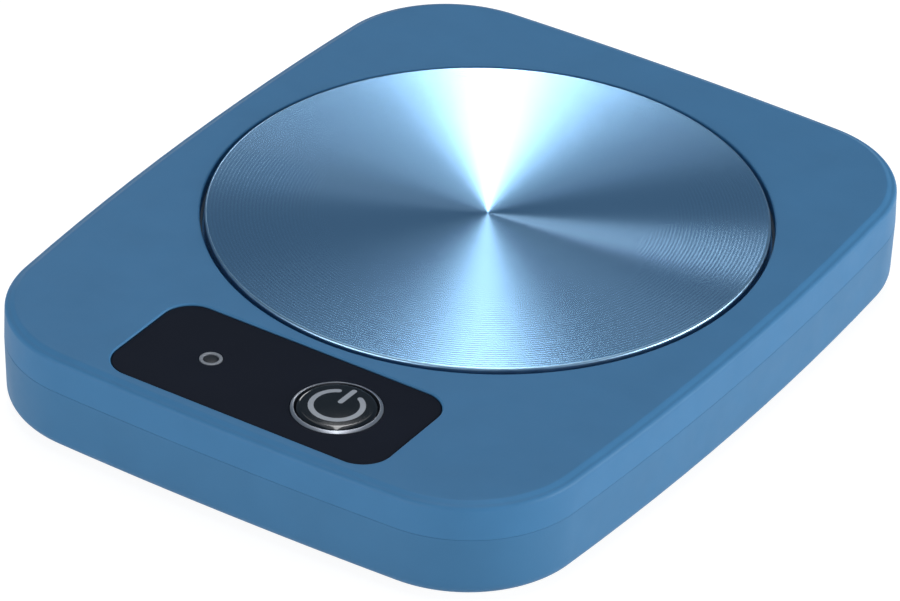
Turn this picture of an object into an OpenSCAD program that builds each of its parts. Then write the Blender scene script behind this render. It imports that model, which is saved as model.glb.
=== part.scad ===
// Electric mug warmer: a flat two-part case with a turned heating plate, a control panel with
// one push button and one indicator, and a low-voltage inlet at the back.
// +Z is up, the control panel faces -Y and the origin lies under the middle, level with the
// underside of the feet.

/* [Case] */
// Width of the case beside the heating plate, on each side
side_margin = 8.75; // [7:0.05:12]
// Depth of the case behind the heating plate
back_margin = 12.85; // [11.5:0.05:16]
// Depth of the case between the heating plate and the control panel
plate_to_panel = 3.05; // [2.5:0.05:6]
// Depth of the case in front of the control panel
front_margin = 3.8; // [3.5:0.1:6]
// Height of the case without its feet
case_h = 18.2; // [18:0.1:22]
// Radius of the gentle bow of the left and right sides
side_bow_r = 620; // [400:10:900]
// Radius of the gentle bow of the front and back
end_bow_r = 850; // [500:10:1200]
// Radius of the four corners
corner_r = 22.3; // [19:0.1:26]
// Thickness of the side walls
wall_t = 2; // [1.6:0.1:2.4]
// Thickness of the top wall
roof_t = 2.2; // [2:0.1:2.6]
// Thickness of the floor
floor_t = 2; // [1.6:0.1:2.4]
// Height of the parting line above the underside of the case
seam_h = 11.5; // [10.5:0.1:12.5]
// Height of the locating lip above the parting line
lip_h = 1.6; // [1:0.1:2]
// Gap around the locating lip
lip_gap = 0.1; // [0.05:0.01:0.2]
// Bevel on each side of the parting line
seam_bevel = 0.2; // [0.1:0.05:0.3]
// How far the lower shell draws in towards its underside
lower_draft = 0.3; // [0:0.05:0.6]
// How far the upper shell draws in towards its top
upper_draft = 0.1; // [0:0.05:0.3]
// Radius of the bottom edge
bottom_edge_r = 2.4; // [1.5:0.1:3]
// Radius of the outer top edge
top_edge_r = 0.8; // [0.5:0.1:1]
// Height of the raised top face above its shoulder
top_step = 0.5; // [0.3:0.05:0.7]
// Width of the shoulder around the raised top face, from the side
shoulder_w = 1.1; // [1:0.05:1.4]
// Width and depth of the hairline groove beside the raised face
hairline = 0.2; // [0.1:0.05:0.3]

/* [Heating plate] */
// Radius of the heating plate
plate_r = 48.25; // [44:0.05:54]
// How far the plate stands above the top face
plate_rise = 0.4; // [0.2:0.1:1]
// Thickness of the plate's disc
plate_t = 2; // [1.6:0.1:2.2]
// Radius of the plate's top edge
plate_edge_r = 0.6; // [0.3:0.1:0.8]
// Thickness of the plate's skirt
skirt_t = 1.8; // [1.4:0.1:2.2]
// Gap between the plate and the case around it
plate_gap = 0.8; // [0.5:0.1:1]
// Width of the flange under the case
flange_w = 2.6; // [2.2:0.1:3]
// Thickness of the flange
flange_t = 1; // [0.8:0.1:1.2]
// Thickness of the seal between the flange and the case
seal_t = 0.8; // [0.6:0.1:1]

/* [Heater] */
// Gap between the heater and the plate's skirt
heater_gap = 1.6; // [1:0.1:3]
// Thickness of the upper mica disc
upper_mica_t = 0.7; // [0.5:0.1:0.9]
// Thickness of the lower mica disc
lower_mica_t = 0.5; // [0.3:0.1:0.6]
// Thickness of the etched foil track
track_t = 0.15; // [0.1:0.05:0.2]
// Width of the foil track
track_w = 2.2; // [1.6:0.1:2.6]
// Number of rings in the foil track
track_rings = 6; // [4:1:6]
// Radius of the innermost ring of the track
track_first_r = 12; // [11:0.5:13]
// Gap between the outermost ring of the track and the window of the leads
track_gap = 0.9; // [0.5:0.1:1.5]
// Width of the window that the heater leads pass through
lead_window_w = 18; // [16:0.5:22]
// Depth of that window
lead_window_d = 6; // [5.5:0.1:6]
// Distance of that window from the rim of the heater
lead_window_in = 5; // [4.5:0.1:6]
// Thickness of the steel retaining plate
retainer_t = 1; // [0.8:0.1:1.2]
// Diameter of the stiffening bead pressed into the retaining plate
bead_d = 66; // [60:1:72]
// Height of the stiffening bead
bead_h = 0.8; // [0.5:0.1:1]
// Width of the stiffening bead
bead_w = 3; // [2:0.5:4]

// Radius of the thermal fuse
fuse_r = 1.9; // [1.6:0.1:2.2]
// Length of the thermal fuse
fuse_len = 9; // [8:0.5:10]
// Distance of the thermal fuse from the plate's centre, to the right
fuse_x = 17; // [15:0.5:19]
// Distance of the thermal fuse from the plate's centre, to the front
fuse_y_in = 16; // [14:0.5:17]
// Radius of the temperature sensor
sensor_r = 3.2; // [2.8:0.1:3.6]

/* [Control panel] */
// Width of the panel
panel_w = 54.1; // [50:0.1:56]
// Depth of the panel
panel_d = 24.3; // [22:0.1:25]
// Radius of the panel's corners
panel_corner_r = 5.3; // [4:0.1:7]
// Thickness of the panel
panel_t = 1.2; // [1:0.1:1.4]
// How deep the panel lies below the top face
panel_sink = 0.3; // [0.1:0.05:0.4]
// Gap around the panel
panel_gap = 0.1; // [0.05:0.05:0.2]
// Thickness of the pocket's floor
pocket_floor_t = 1.5; // [1.2:0.1:1.8]
// Thickness of the adhesive sheet under the panel
tape_t = 0.15; // [0.1:0.05:0.2]
// Width of the rim beside the pocket
pocket_rim_w = 1.5; // [1:0.1:2]

/* [Power button] */
// Distance of the button from the middle of the case, to the right
button_x = 12.1; // [11:0.1:14]
// Radius of the button's cap
cap_r = 6.95; // [6:0.05:7.5]
// Radius of the cap's rounded edge
cap_round = 1.1; // [0.5:0.1:1.2]
// Height of the dome's edge above the panel
cap_edge_h = 0.45; // [0.1:0.05:0.6]
// Height of the cap's dome above its edge
dome_h = 0.15; // [0.1:0.05:0.7]
// Thickness of the cap
cap_t = 1.2; // [1:0.1:1.5]
// Gap between the cap and the ring around it
cap_gap = 0.1; // [0.06:0.01:0.15]
// How far the cap travels when it is pressed
press_travel = 0.35; // [0.25:0.05:0.4]
// Width of the ring around the cap
bezel_w = 0.6; // [0.5:0.05:1]
// Height of the ring above the panel, at its inner edge
bezel_h = 0.3; // [0.1:0.05:0.5]
// Height of the ring's outer edge above the panel
bezel_edge_h = 0.05; // [0:0.01:0.1]
// Width of the ring's flat crest
bezel_crest_w = 0.1; // [0.05:0.05:0.2]
// Width of the ring's hidden flange
bezel_flange_w = 1; // [0.8:0.1:1.2]
// Thickness of the ring's hidden flange
bezel_flange_t = 0.6; // [0.5:0.1:0.7]
// Outer radius of the power symbol
symbol_r = 4.75; // [4:0.05:5.5]
// Width of the symbol's line
symbol_w = 0.95; // [0.7:0.05:1.1]
// How far the symbol is let into the cap
symbol_t = 0.2; // [0.1:0.05:0.3]
// Radius of the cap's stem
stem_r = 1.75; // [1.5:0.05:2]

/* [Indicator] */
// Distance of the indicator from the middle of the case, to the left
indicator_x = 12.95; // [11:0.05:14]
// Outer radius of the ring around the indicator
indicator_r = 1.95; // [1.8:0.05:2.5]
// Width of that ring
indicator_w = 0.6; // [0.5:0.05:0.8]
// Gap around the light guide
guide_gap = 0.05; // [0.03:0.01:0.08]

/* [Electronics] */
// Width of the circuit board
board_w = 62; // [60:0.5:64]
// Depth of the circuit board
board_d = 26.5; // [26:0.1:27]
// Thickness of the circuit board
board_t = 1.6; // [1:0.1:1.6]
// Distance of the board from the front of the case
board_front_in = 4; // [3.8:0.1:4.5]
// Inset of the board's screws from its edges
board_screw_in = 3.2; // [3:0.1:3.5]
// Width of the push switch
switch_w = 6.2; // [6:0.1:6.5]
// Height of the push switch without its plunger
switch_h = 3.4; // [3.2:0.1:3.6]
// Height of the plunger above the push switch
plunger_h = 0.7; // [0.6:0.05:0.9]
// Radius of the wires' insulation
wire_r = 0.75; // [0.6:0.05:0.9]
// Radius of the sensor wires' insulation
sensor_wire_r = 0.5; // [0.4:0.05:0.6]
// Distance of the supply wires' run from the side of the case
wire_run_in = 24; // [21:0.5:27]

/* [Inlet] */
// Width of the power inlet
inlet_w = 9; // [8.5:0.1:9.5]
// Height of the power inlet
inlet_h = 10; // [9.5:0.1:10]
// Length of the power inlet inside the case
inlet_len = 13.6; // [13:0.1:14]
// Radius of the inlet's opening
inlet_bore_r = 3.15; // [3:0.05:3.3]
// Depth of the inlet's opening
inlet_bore_depth = 9.5; // [9:0.1:10]
// Radius of the inlet's centre pin
inlet_pin_r = 1.05; // [0.8:0.05:1.25]
// Radius of the inlet's round nose
inlet_nose_r = 3.8; // [3.7:0.05:4]

/* [Air slots] */
// Number of air slots in a row
vent_count = 8; // [5:1:9]
// Distance between two air slots
vent_pitch = 5.5; // [4.5:0.1:6]
// Width of an air slot
vent_w = 2; // [1.6:0.1:2.6]
// Length of an air slot
vent_len = 18; // [14:0.5:22]
// Distance of a row of slots from the plate's centre
vent_row_y = 13; // [12.5:0.5:15]

/* [Feet and screws] */
// Radius of the feet
foot_r = 5.5; // [4.5:0.1:6.5]
// How far the feet stand below the case
foot_stand = 1.6; // [1.2:0.1:2.5]
// How deep the feet sit in the case
foot_sink = 0.8; // [0.5:0.1:1]
// Distance of the feet's centres from the sides of the case
foot_side_in = 15.5; // [14:0.5:19]
// Distance of the feet's centres from the front and back of the case
foot_end_in = 15.25; // [13.25:0.5:18.25]
// Distance of the case screws from the sides
case_screw_in = 7.2; // [7:0.1:7.6]
// Distance of the case screws from the front and back of the case
case_screw_end_in = 30.25; // [28.25:0.5:32.25]
// Radius of the case screws
case_screw_r = 1.5; // [1.25:0.05:1.6]
// Radius of the small screws
small_screw_r = 1.1; // [1:0.05:1.25]
// Gap around a screw in its hole
screw_gap = 0.05; // [0.03:0.01:0.1]
// Thickness of material around a screw hole
boss_wall = 1.6; // [1.4:0.1:1.8]

/* [Hidden] */

$fn = 96;
// Cuts run past the faces that they open by this much
cut = 1;
// Segments around the long flat bows, which only cover a few degrees
bow_fn = 1440;

case_blue = "#4c7fb0";
case_blue_low = "#43719f";
plate_silver = "#a9c4dc";
panel_black = "#1c2029";
mark_grey = "#b4b9c2";
board_green = "#1d5a3c";
steel_grey = "#9aa0a6";
mica_tan = "#c9b68c";
wire_red = "#a32a25";
wire_white = "#dcdcd6";
wire_black = "#1b1b1d";
connector_cream = "#e6dfcc";
rubber_black = "#26282b";

// ---- levels
underside_z = foot_stand;
floor_z = underside_z + floor_t;
seam_z = underside_z + seam_h;
top_z = underside_z + case_h;
roof_z = top_z - roof_t;
plate_top_z = top_z + plate_rise;
seal_z = roof_z - seal_t;
flange_z = seal_z - flange_t;
disc_z = plate_top_z - plate_t;
upper_mica_z = disc_z - upper_mica_t;
track_z = upper_mica_z - track_t;
lower_mica_z = track_z - lower_mica_t;
retainer_z = flange_z - retainer_t;
panel_top_z = top_z - panel_sink;
panel_z = panel_top_z - panel_t;
pocket_z = panel_z - tape_t;
pocket_under_z = pocket_z - pocket_floor_t;
bezel_z = panel_z - bezel_flange_t;
cap_edge_z = panel_top_z + cap_edge_h;
cap_flange_t = 0.6;
cap_z = bezel_z - cap_flange_t;
stem_below_cap = 2.1;
stem_z = cap_z - stem_below_cap;
board_top_z = stem_z - plunger_h - switch_h;
board_z = board_top_z - board_t;

// ---- outline of the case: four bows joined by four corners
case_w = 2 * (plate_r + side_margin);
case_d = back_margin + 2 * plate_r + plate_to_panel + panel_d + front_margin;
half_w = case_w / 2;
half_d = case_d / 2;
plate_y = half_d - back_margin - plate_r;
panel_y = half_d - front_margin - panel_d / 2;
board_y = half_d - board_front_in - board_d / 2;
side_bow_x = half_w - side_bow_r;
end_bow_y = half_d - end_bow_r;
// The corner's centre lies corner_r inside both bows
side_reach = side_bow_r - corner_r;
end_reach = end_bow_r - corner_r;
bow_apart = norm([side_bow_x, end_bow_y]);
along = (end_reach ^ 2 - side_reach ^ 2 + bow_apart ^ 2) / (2 * bow_apart);
across = sqrt(end_reach ^ 2 - along ^ 2);
bow_dir = [side_bow_x, -end_bow_y] / bow_apart;
corner_c = [0, end_bow_y] + along * bow_dir + across * [bow_dir.y, -bow_dir.x];
corner_x = corner_c.x;
corner_y = corner_c.y;
side_angle = atan2(corner_y, corner_x - side_bow_x);
end_angle = atan2(corner_x, corner_y - end_bow_y);
// The swept edge reaches this far inwards, and a plain slab fills the middle
corner_core_r = 5;
slab_lap = 4;
sweep_in = corner_r - corner_core_r;
slab_in = sweep_in - slab_lap;

// ---- plate
opening_r = plate_r + plate_gap;
flange_r = plate_r + flange_w;
recess_r = plate_r - skirt_t;
heater_r = recess_r - heater_gap;
retainer_r = flange_r - 0.5;
ear_boss_r = small_screw_r + boss_wall;
ear_boss_gap = 0.6;
ear_pitch_r = flange_r + ear_boss_r + ear_boss_gap;
sensor_hole_r = sensor_r + 0.6;
ear_pilot_h = 3;
lead_pad_x = 5.5;
lead_window_y = heater_r - lead_window_in;
track_last_r = lead_window_y - lead_window_d / 2 - track_w / 2 - track_gap;
track_pitch = (track_last_r - track_first_r) / (track_rings - 1);
pad_face = [lead_pad_x, plate_y - lead_window_y, track_z];
clip_t = 0.4;
clip_w = 8;
clip_reach = 11;
clip_foot = 4;
clip_drop = 0.6;
clip_z = retainer_z - clip_drop - clip_t;
sensor_neck_r = sensor_r - 1;
sensor_neck_z = clip_z - 0.8;
fuse_y = plate_y - fuse_y_in;
fuse_gap = 0.1;
fuse_pin_r = 0.5;
fuse_pin_len = 2.5;
fuse_z = retainer_z - fuse_r - fuse_gap;

// ---- button
bezel_in_r = cap_r + cap_gap;
bezel_r = bezel_in_r + bezel_w;
bezel_flange_r = bezel_r + bezel_flange_w;
cap_flange_w = 0.6;
cap_way_gap = 0.25;
cap_flange_r = cap_r + cap_flange_w;
cap_way_r = cap_flange_r + cap_way_gap;
dome_edge_r = cap_r - cap_round;
dome_r = (dome_edge_r ^ 2 + dome_h ^ 2) / (2 * dome_h);
dome_angle = asin(dome_edge_r / dome_r);
dome_centre_z = cap_edge_z + dome_h - dome_r;
symbol_z = cap_edge_z + dome_h - symbol_t - 0.25;
guide_r = indicator_r - indicator_w - guide_gap;
guide_flange_r = guide_r + 0.7;
guide_flange_t = 0.8;

// ---- board
led_h = 0.8;
guide_z = board_top_z + led_h + 0.3;
board_post_r = small_screw_r + 1.5;
board_screw_x = board_w / 2 - board_screw_in;
board_screw_y = board_d / 2 - board_screw_in;
board_back_y = -board_y + board_d / 2;
board_pilot_h = 4.5;
header_w = 7;
header_d = 5.2;
header_h = 3.8;
header_wall = 0.8;
plug_gap = 0.1;
plug_len = 7;
plug_out = 3;
plug_w = header_w - 2 * header_wall - 2 * plug_gap;
plug_h = header_h - 2 * header_wall - 2 * plug_gap;
plug_z = board_top_z + header_h / 2;
plug_y = board_back_y + plug_out;
plug_pitch = 2.4;
header_gap = 0.7;
supply_plug_x = board_screw_x - board_post_r - header_w / 2 - header_gap;
sensor_plug_x = -supply_plug_x;
heater_plug_x = 0;

// Places of the parts on the board, from its middle
side_part_x = board_w / 2 - 9;
back_row_y = -board_y + 2.5;
mcu_x = -1;
mcu_y = -board_y - 5.5;
regulator_x = -2;
regulator_y = -board_y + 3;
capacitor_y = -board_y - 5.2;
chip_row_y = -board_y - 10.2;
chip_column_x = 6.2;
chip_column_y = -board_y + 5.4;

// ---- push switch
switch_cover_t = 0.3;
plunger_r = 1.7;
plunger_flange_t = 0.5;
plunger_flange_z = stem_z - plunger_h - switch_cover_t - plunger_flange_t;
snap_r = 2.2;
snap_t = 0.12;
snap_h = press_travel + snap_t + 0.1;
switch_well_r = 2.4;
switch_well_z = plunger_flange_z - snap_h - 0.02;

// ---- screws
small_head_r = small_screw_r + 1;
small_head_t = 1.4;
case_pilot_h = 9;
case_screw_head_r = case_screw_r + 1.1;
case_screw_head_t = 1.8;
case_boss_r = case_screw_r + boss_wall;
case_well_r = case_screw_head_r + 0.4;
case_well_h = 3;
case_land_t = 1.6;
case_land_z = underside_z + case_well_h + case_land_t;
case_screw_bite = 7;
case_screw_y = half_d - case_screw_end_in;
case_screw_x = half_w - case_screw_in - (case_screw_y ^ 2) / (2 * side_bow_r);

// ---- inlet
inlet_z = floor_z + inlet_h / 2;
inlet_front_y = half_d - wall_t - lower_draft - 0.1;
inlet_back_y = inlet_front_y - inlet_len;
inlet_nose_len = wall_t;
cradle_gap = 0.15;
cradle_t = 1.2;
strap_d = 5;
strap_t = 0.9;
strap_y = inlet_front_y - strap_d / 2 - 1;
strap_screw_x = inlet_w / 2 + cradle_gap + cradle_t + 3;
strap_boss_r = small_screw_r + boss_wall;
strap_screw_bite = 5;
strap_pilot_h = strap_screw_bite + 1;
inlet_stop_h = 2.2;
tab_x = 2.6;
tab_y = inlet_back_y - 2.6;
tab_z = inlet_z - 0.6;

// ---- feet
foot_x = half_w - foot_side_in;
foot_y = half_d - foot_end_in;

// ---- supply wires
wire_run_x = half_w - wire_run_in;
wire_spread = wire_r + 0.35;
wire_post_t = 1.2;
wire_post_x = wire_spread + wire_r + 0.25 + wire_post_t / 2;
wire_post_len = 4;
wire_post_h = 2 * wire_r + 1.7;
wire_post_y = [-4, 20];

// Points of a quarter circle from angle a to angle b around c
function arc(c, r, a, b, steps = 5) =
  [for (i = [0:steps]) let (t = a + (b - a) * i / steps) c + r * [cos(t), sin(t)]];

// Sweeps a section around the case. The section's x runs inwards from the side, its y is the
// height.
module swept(section) {
  for (side = [0, 1]) mirror([side, 0, 0]) {
    translate([side_bow_x, 0, 0])
      rotate_extrude(angle = 2 * side_angle, start = -side_angle, $fn = bow_fn)
        translate([side_bow_r, 0]) mirror([1, 0]) polygon(section);
    for (end = [0, 1]) mirror([0, end, 0])
      translate([corner_x, corner_y, 0])
        rotate_extrude(angle = 90 - side_angle - end_angle, start = side_angle)
          translate([corner_r, 0]) mirror([1, 0]) polygon(section);
  }
  for (end = [0, 1]) mirror([0, end, 0])
    translate([0, end_bow_y, 0])
      rotate_extrude(angle = 2 * end_angle, start = 90 - end_angle, $fn = bow_fn)
        translate([end_bow_r, 0]) mirror([1, 0]) polygon(section);
}

// The flat middle between the swept edges
module slab(z, t) {
  side_pt = [corner_x, corner_y] + (corner_r - slab_in) * [cos(side_angle), sin(side_angle)];
  end_pt = [corner_x, corner_y] + (corner_r - slab_in) * [sin(end_angle), cos(end_angle)];
  quarter = [side_pt, end_pt];
  translate([0, 0, z]) linear_extrude(t)
    polygon([
      quarter[0], quarter[1], [-quarter[1].x, quarter[1].y], [-quarter[0].x, quarter[0].y],
      -quarter[0], -quarter[1], [quarter[1].x, -quarter[1].y], [quarter[0].x, -quarter[0].y],
    ]);
}

// A flat sheet with round corners, centred on the origin
module rounded_sheet(w, d, r, t) {
  linear_extrude(t) union() {
    square([w - 2 * r, d], center = true);
    square([w, d - 2 * r], center = true);
    for (x = [-1, 1], y = [-1, 1]) translate([x * (w / 2 - r), y * (d / 2 - r)]) circle(r);
  }
}

// A slot with round ends along Y
module slot(w, d, t) {
  linear_extrude(t) union() {
    square([w, d - w], center = true);
    for (y = [-1, 1]) translate([0, y * (d - w) / 2]) circle(w / 2);
  }
}

// A flat ring
module ring(r_out, r_in, t) {
  difference() {
    cylinder(r = r_out, h = t);
    translate([0, 0, -cut]) cylinder(r = r_in, h = t + 2 * cut);
  }
}

// A pan-head screw whose head rests on z = 0 and whose shank points up
module screw_up(r, length, head_r, head_t) {
  slot_w = r * 0.5;
  cylinder(r = r, h = length);
  difference() {
    translate([0, 0, -head_t]) cylinder(r = head_r, h = head_t);
    for (turn = [0, 90]) rotate([0, 0, turn])
      translate([-head_r * 0.6, -slot_w / 2, -head_t - cut])
        cube([head_r * 1.2, slot_w, cut + head_t * 0.5]);
  }
}

// Places its children at the four case screws
module at_case_screws() {
  for (x = [-1, 1], y = [-1, 1]) translate([x * case_screw_x, y * case_screw_y, 0]) children();
}

// Places its children at the four ears of the retaining plate
module at_ears() {
  for (turn = [45:90:315]) translate([0, plate_y, 0]) rotate([0, 0, turn])
    translate([ear_pitch_r, 0, 0]) children();
}

// Places its children at the four board screws
module at_board_screws() {
  for (x = [-1, 1], y = [-1, 1])
    translate([x * board_screw_x, -board_y + y * board_screw_y, 0]) children();
}

// A smooth line through the given points, with a few steps between each two
function spline(p, steps) = [
  for (i = [0:len(p) - 2], k = [0:steps - 1])
    let (
      a = p[max(i - 1, 0)], b = p[i], c = p[i + 1], d = p[min(i + 2, len(p) - 1)],
      t = k / steps
    )
    0.5 * (2 * b + (c - a) * t + (2 * a - 5 * b + 4 * c - d) * t ^ 2
      + (3 * b - a - 3 * c + d) * t ^ 3),
  p[len(p) - 1],
];

// A wire: an eight-sided tube along a smooth line. The first and last faces stand square to
// the first and last stretch.
module wire(points, r, steps = 4) {
  line = spline(points, steps);
  last = len(line) - 1;
  ends = len(points) - 1;
  sides = 8;
  guide = [0.21, 0.13, 1];
  rings = [
    for (i = [0:last])
      let (
        ahead = i == 0 ? points[1] - points[0]
          : i == last ? points[ends] - points[ends - 1] : line[i + 1] - line[i - 1],
        t = ahead / norm(ahead),
        side = cross(t, guide) / norm(cross(t, guide)),
        up = cross(side, t)
      )
      for (k = [0:sides - 1])
        line[i] + r * (cos((k + 0.5) * 360 / sides) * side + sin((k + 0.5) * 360 / sides) * up),
  ];
  polyhedron(
    points = rings,
    faces = [
      [for (k = [0:sides - 1]) sides - 1 - k],
      for (i = [0:last - 1], k = [0:sides - 1])
        let (a = i * sides + k, b = i * sides + (k + 1) % sides)
        each [[a, b + sides, a + sides], [a, b, b + sides]],
      [for (k = [0:sides - 1]) last * sides + k],
    ]
  );
}

// ---- the case

module top_cover() {
  section = concat(
    [
      [seam_bevel, seam_z],
      [0, seam_z + seam_bevel],
    ],
    arc([upper_draft + top_edge_r, top_z - top_step - top_edge_r], top_edge_r, 180, 90),
    [
      [shoulder_w, top_z - top_step],
      [shoulder_w, top_z - top_step - hairline],
      [shoulder_w + hairline, top_z - top_step - hairline],
      [shoulder_w + hairline, top_z - hairline],
      [shoulder_w + 2 * hairline, top_z],
      [sweep_in, top_z],
      [sweep_in, roof_z],
      [wall_t, roof_z],
      [wall_t, seam_z + lip_h + lip_gap],
      [wall_t / 2, seam_z + lip_h + lip_gap],
      [wall_t / 2, seam_z],
    ]
  );
  pocket_w = panel_w + 2 * panel_gap;
  pocket_d = panel_d + 2 * panel_gap;
  pocket_r = panel_corner_r + panel_gap;
  rim_w = pocket_w + 2 * pocket_rim_w;
  rim_d = pocket_d + 2 * pocket_rim_w;
  post_overlap = 1;
  color(case_blue) difference() {
    union() {
      swept(section);
      slab(roof_z, roof_t);
      // Thicker floor under the panel, cut back around the plate's flange
      difference() {
        translate([0, -panel_y, pocket_under_z])
          rounded_sheet(rim_w, rim_d, pocket_r, roof_z + post_overlap - pocket_under_z);
        translate([0, plate_y, pocket_under_z - cut])
          cylinder(r = flange_r + 0.4, h = roof_z - pocket_under_z + cut);
      }
      at_case_screws()
        translate([0, 0, case_land_z])
          cylinder(r = case_boss_r, h = roof_z + post_overlap - case_land_z);
      at_ears()
        translate([0, 0, flange_z]) cylinder(r = ear_boss_r, h = roof_z + post_overlap - flange_z);
      at_board_screws()
        translate([0, 0, board_top_z])
          cylinder(r = board_post_r, h = roof_z + post_overlap - board_top_z);
    }
    // Opening for the plate
    translate([0, plate_y, roof_z - cut]) cylinder(r = opening_r, h = roof_t + 2 * cut);
    // Pocket for the panel
    translate([0, -panel_y, pocket_z])
      rounded_sheet(pocket_w, pocket_d, pocket_r, top_z - pocket_z + cut);
    // Seat of the button's ring, and the way of its cap
    translate([button_x, -panel_y, bezel_z])
      cylinder(r = bezel_flange_r + panel_gap, h = panel_z - bezel_z);
    translate([button_x, -panel_y, pocket_under_z - cut])
      cylinder(r = cap_way_r, h = bezel_z - pocket_under_z + 2 * cut);
    // Hole of the light guide
    translate([-indicator_x, -panel_y, pocket_under_z - cut])
      cylinder(r = guide_r + guide_gap, h = panel_z - pocket_under_z + 2 * cut);
    // Pilot holes, all blind
    at_case_screws()
      translate([0, 0, case_land_z - cut])
        cylinder(r = case_screw_r + screw_gap, h = case_pilot_h + cut);
    at_ears()
      translate([0, 0, flange_z - cut])
        cylinder(r = small_screw_r + screw_gap, h = ear_pilot_h + cut);
    at_board_screws()
      translate([0, 0, board_top_z - cut])
        cylinder(r = small_screw_r + screw_gap, h = board_pilot_h + cut);
  }
}
module bottom_cover() {
  section = concat(
    [
      [wall_t / 2 + lip_gap, seam_z],
      [wall_t / 2 + lip_gap, seam_z + lip_h],
      [wall_t, seam_z + lip_h],
      [wall_t + lower_draft, floor_z + bottom_edge_r],
    ],
    arc([wall_t + lower_draft + bottom_edge_r / 2, floor_z + bottom_edge_r / 2],
      bottom_edge_r / 2, 180, 270),
    [
      [sweep_in, floor_z],
      [sweep_in, underside_z],
    ],
    arc([lower_draft + bottom_edge_r, underside_z + bottom_edge_r], bottom_edge_r, 270, 180),
    [
      [0, seam_z - seam_bevel],
      [seam_bevel, seam_z],
    ]
  );
  cradle_x = inlet_w / 2 + cradle_gap;
  cradle_h = inlet_h * 0.7;
  cradle_len = inlet_len * 0.8;
  color(case_blue_low) difference() {
    union() {
      swept(section);
      slab(underside_z, floor_t);
      at_case_screws()
        translate([0, 0, underside_z + floor_t / 2])
          cylinder(r = case_well_r + boss_wall, h = case_land_z - underside_z - floor_t / 2);
      // Cradle of the inlet: two side walls and a stop behind it
      for (side = [-1, 1]) {
        translate([side * (cradle_x + cradle_t / 2) - cradle_t / 2, inlet_back_y, floor_z - floor_t / 2])
          cube([cradle_t, cradle_len, cradle_h + floor_t / 2]);
        translate([side * strap_screw_x, strap_y, floor_z - floor_t / 2])
          cylinder(r = strap_boss_r, h = inlet_h + floor_t / 2);
      }
      translate([-cradle_x - cradle_t, inlet_back_y - cradle_gap - cradle_t, floor_z - floor_t / 2])
        cube([2 * (cradle_x + cradle_t), cradle_t, inlet_stop_h + floor_t / 2]);
      // Posts that keep the supply leads together
      for (y = wire_post_y, side = [-1, 1])
        translate([wire_run_x + side * wire_post_x - wire_post_t / 2, y, floor_z - floor_t / 2])
          cube([wire_post_t, wire_post_len, wire_post_h + floor_t / 2]);
    }
    // Wells and holes of the case screws
    at_case_screws() {
      translate([0, 0, underside_z - cut]) cylinder(r = case_well_r, h = case_well_h + cut);
      translate([0, 0, underside_z])
        cylinder(r = case_screw_r + 0.15, h = case_land_z - underside_z + cut);
    }
    // Seats of the feet
    for (x = [-1, 1], y = [-1, 1])
      translate([x * foot_x, y * foot_y, underside_z - cut])
        cylinder(r = foot_r + 0.1, h = foot_sink + cut);
    // Opening for the inlet's nose
    translate([0, inlet_front_y - cut, inlet_z]) rotate([-90, 0, 0])
      cylinder(r = inlet_nose_r + 0.1, h = wall_t + lower_draft + 2 * cut);
    // Flat seat for the inlet's front face
    translate([-cradle_x, inlet_front_y - bottom_edge_r, floor_z])
      cube([2 * cradle_x, bottom_edge_r + 0.05, inlet_h + 0.1]);
    for (side = [-1, 1])
      translate([side * strap_screw_x, strap_y, floor_z + inlet_h - strap_pilot_h])
        cylinder(r = small_screw_r + screw_gap, h = strap_pilot_h + cut);
    // Air slots under the heater
    for (row = [-1, 1], i = [0:vent_count - 1])
      translate([
        (i - (vent_count - 1) / 2) * vent_pitch, plate_y + row * vent_row_y, underside_z - cut
      ])
        slot(vent_w, vent_len, floor_t + 2 * cut);
  }
}
module foot(x, y) {
  foot_edge = 0.4;
  color(rubber_black) translate([x * foot_x, y * foot_y, 0])
    rotate_extrude() polygon([
      [0, 0], [foot_r - foot_edge, 0], [foot_r, foot_edge], [foot_r, foot_stand + foot_sink],
      [0, foot_stand + foot_sink],
    ]);
}

module case_screws() {
  color(steel_grey) at_case_screws()
    translate([0, 0, underside_z + case_well_h])
      screw_up(case_screw_r, case_land_t + case_screw_bite, case_screw_head_r, case_screw_head_t);
}

// ---- the heating plate and what is clamped under it

module heating_plate() {
  color(plate_silver) translate([0, plate_y, 0]) rotate_extrude($fn = 180)
    polygon(concat(
      [[0, disc_z], [recess_r, disc_z], [recess_r, flange_z], [flange_r, flange_z],
        [flange_r, seal_z], [plate_r, seal_z]],
      arc([plate_r - plate_edge_r, plate_top_z - plate_edge_r], plate_edge_r, 0, 90),
      [[0, plate_top_z]]
    ));
}

module plate_seal() {
  color(rubber_black) translate([0, plate_y, seal_z])
    ring(flange_r, plate_r + plate_gap / 2, seal_t);
}

module heater_layer(z, t, c, with_window) {
  color(c) translate([0, plate_y, z]) difference() {
    ring(heater_r, sensor_hole_r, t);
    if (with_window)
      translate([-lead_window_w / 2, -lead_window_y - lead_window_d / 2, -cut])
        cube([lead_window_w, lead_window_d, t + 2 * cut]);
  }
}

module upper_mica() {
  heater_layer(upper_mica_z, upper_mica_t, mica_tan, false);
}

module lower_mica() {
  heater_layer(lower_mica_z, lower_mica_t, mica_tan, true);
}

module insulation_pad() {
  heater_layer(flange_z, lower_mica_z - flange_z, "#e9e6df", true);
}

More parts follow.
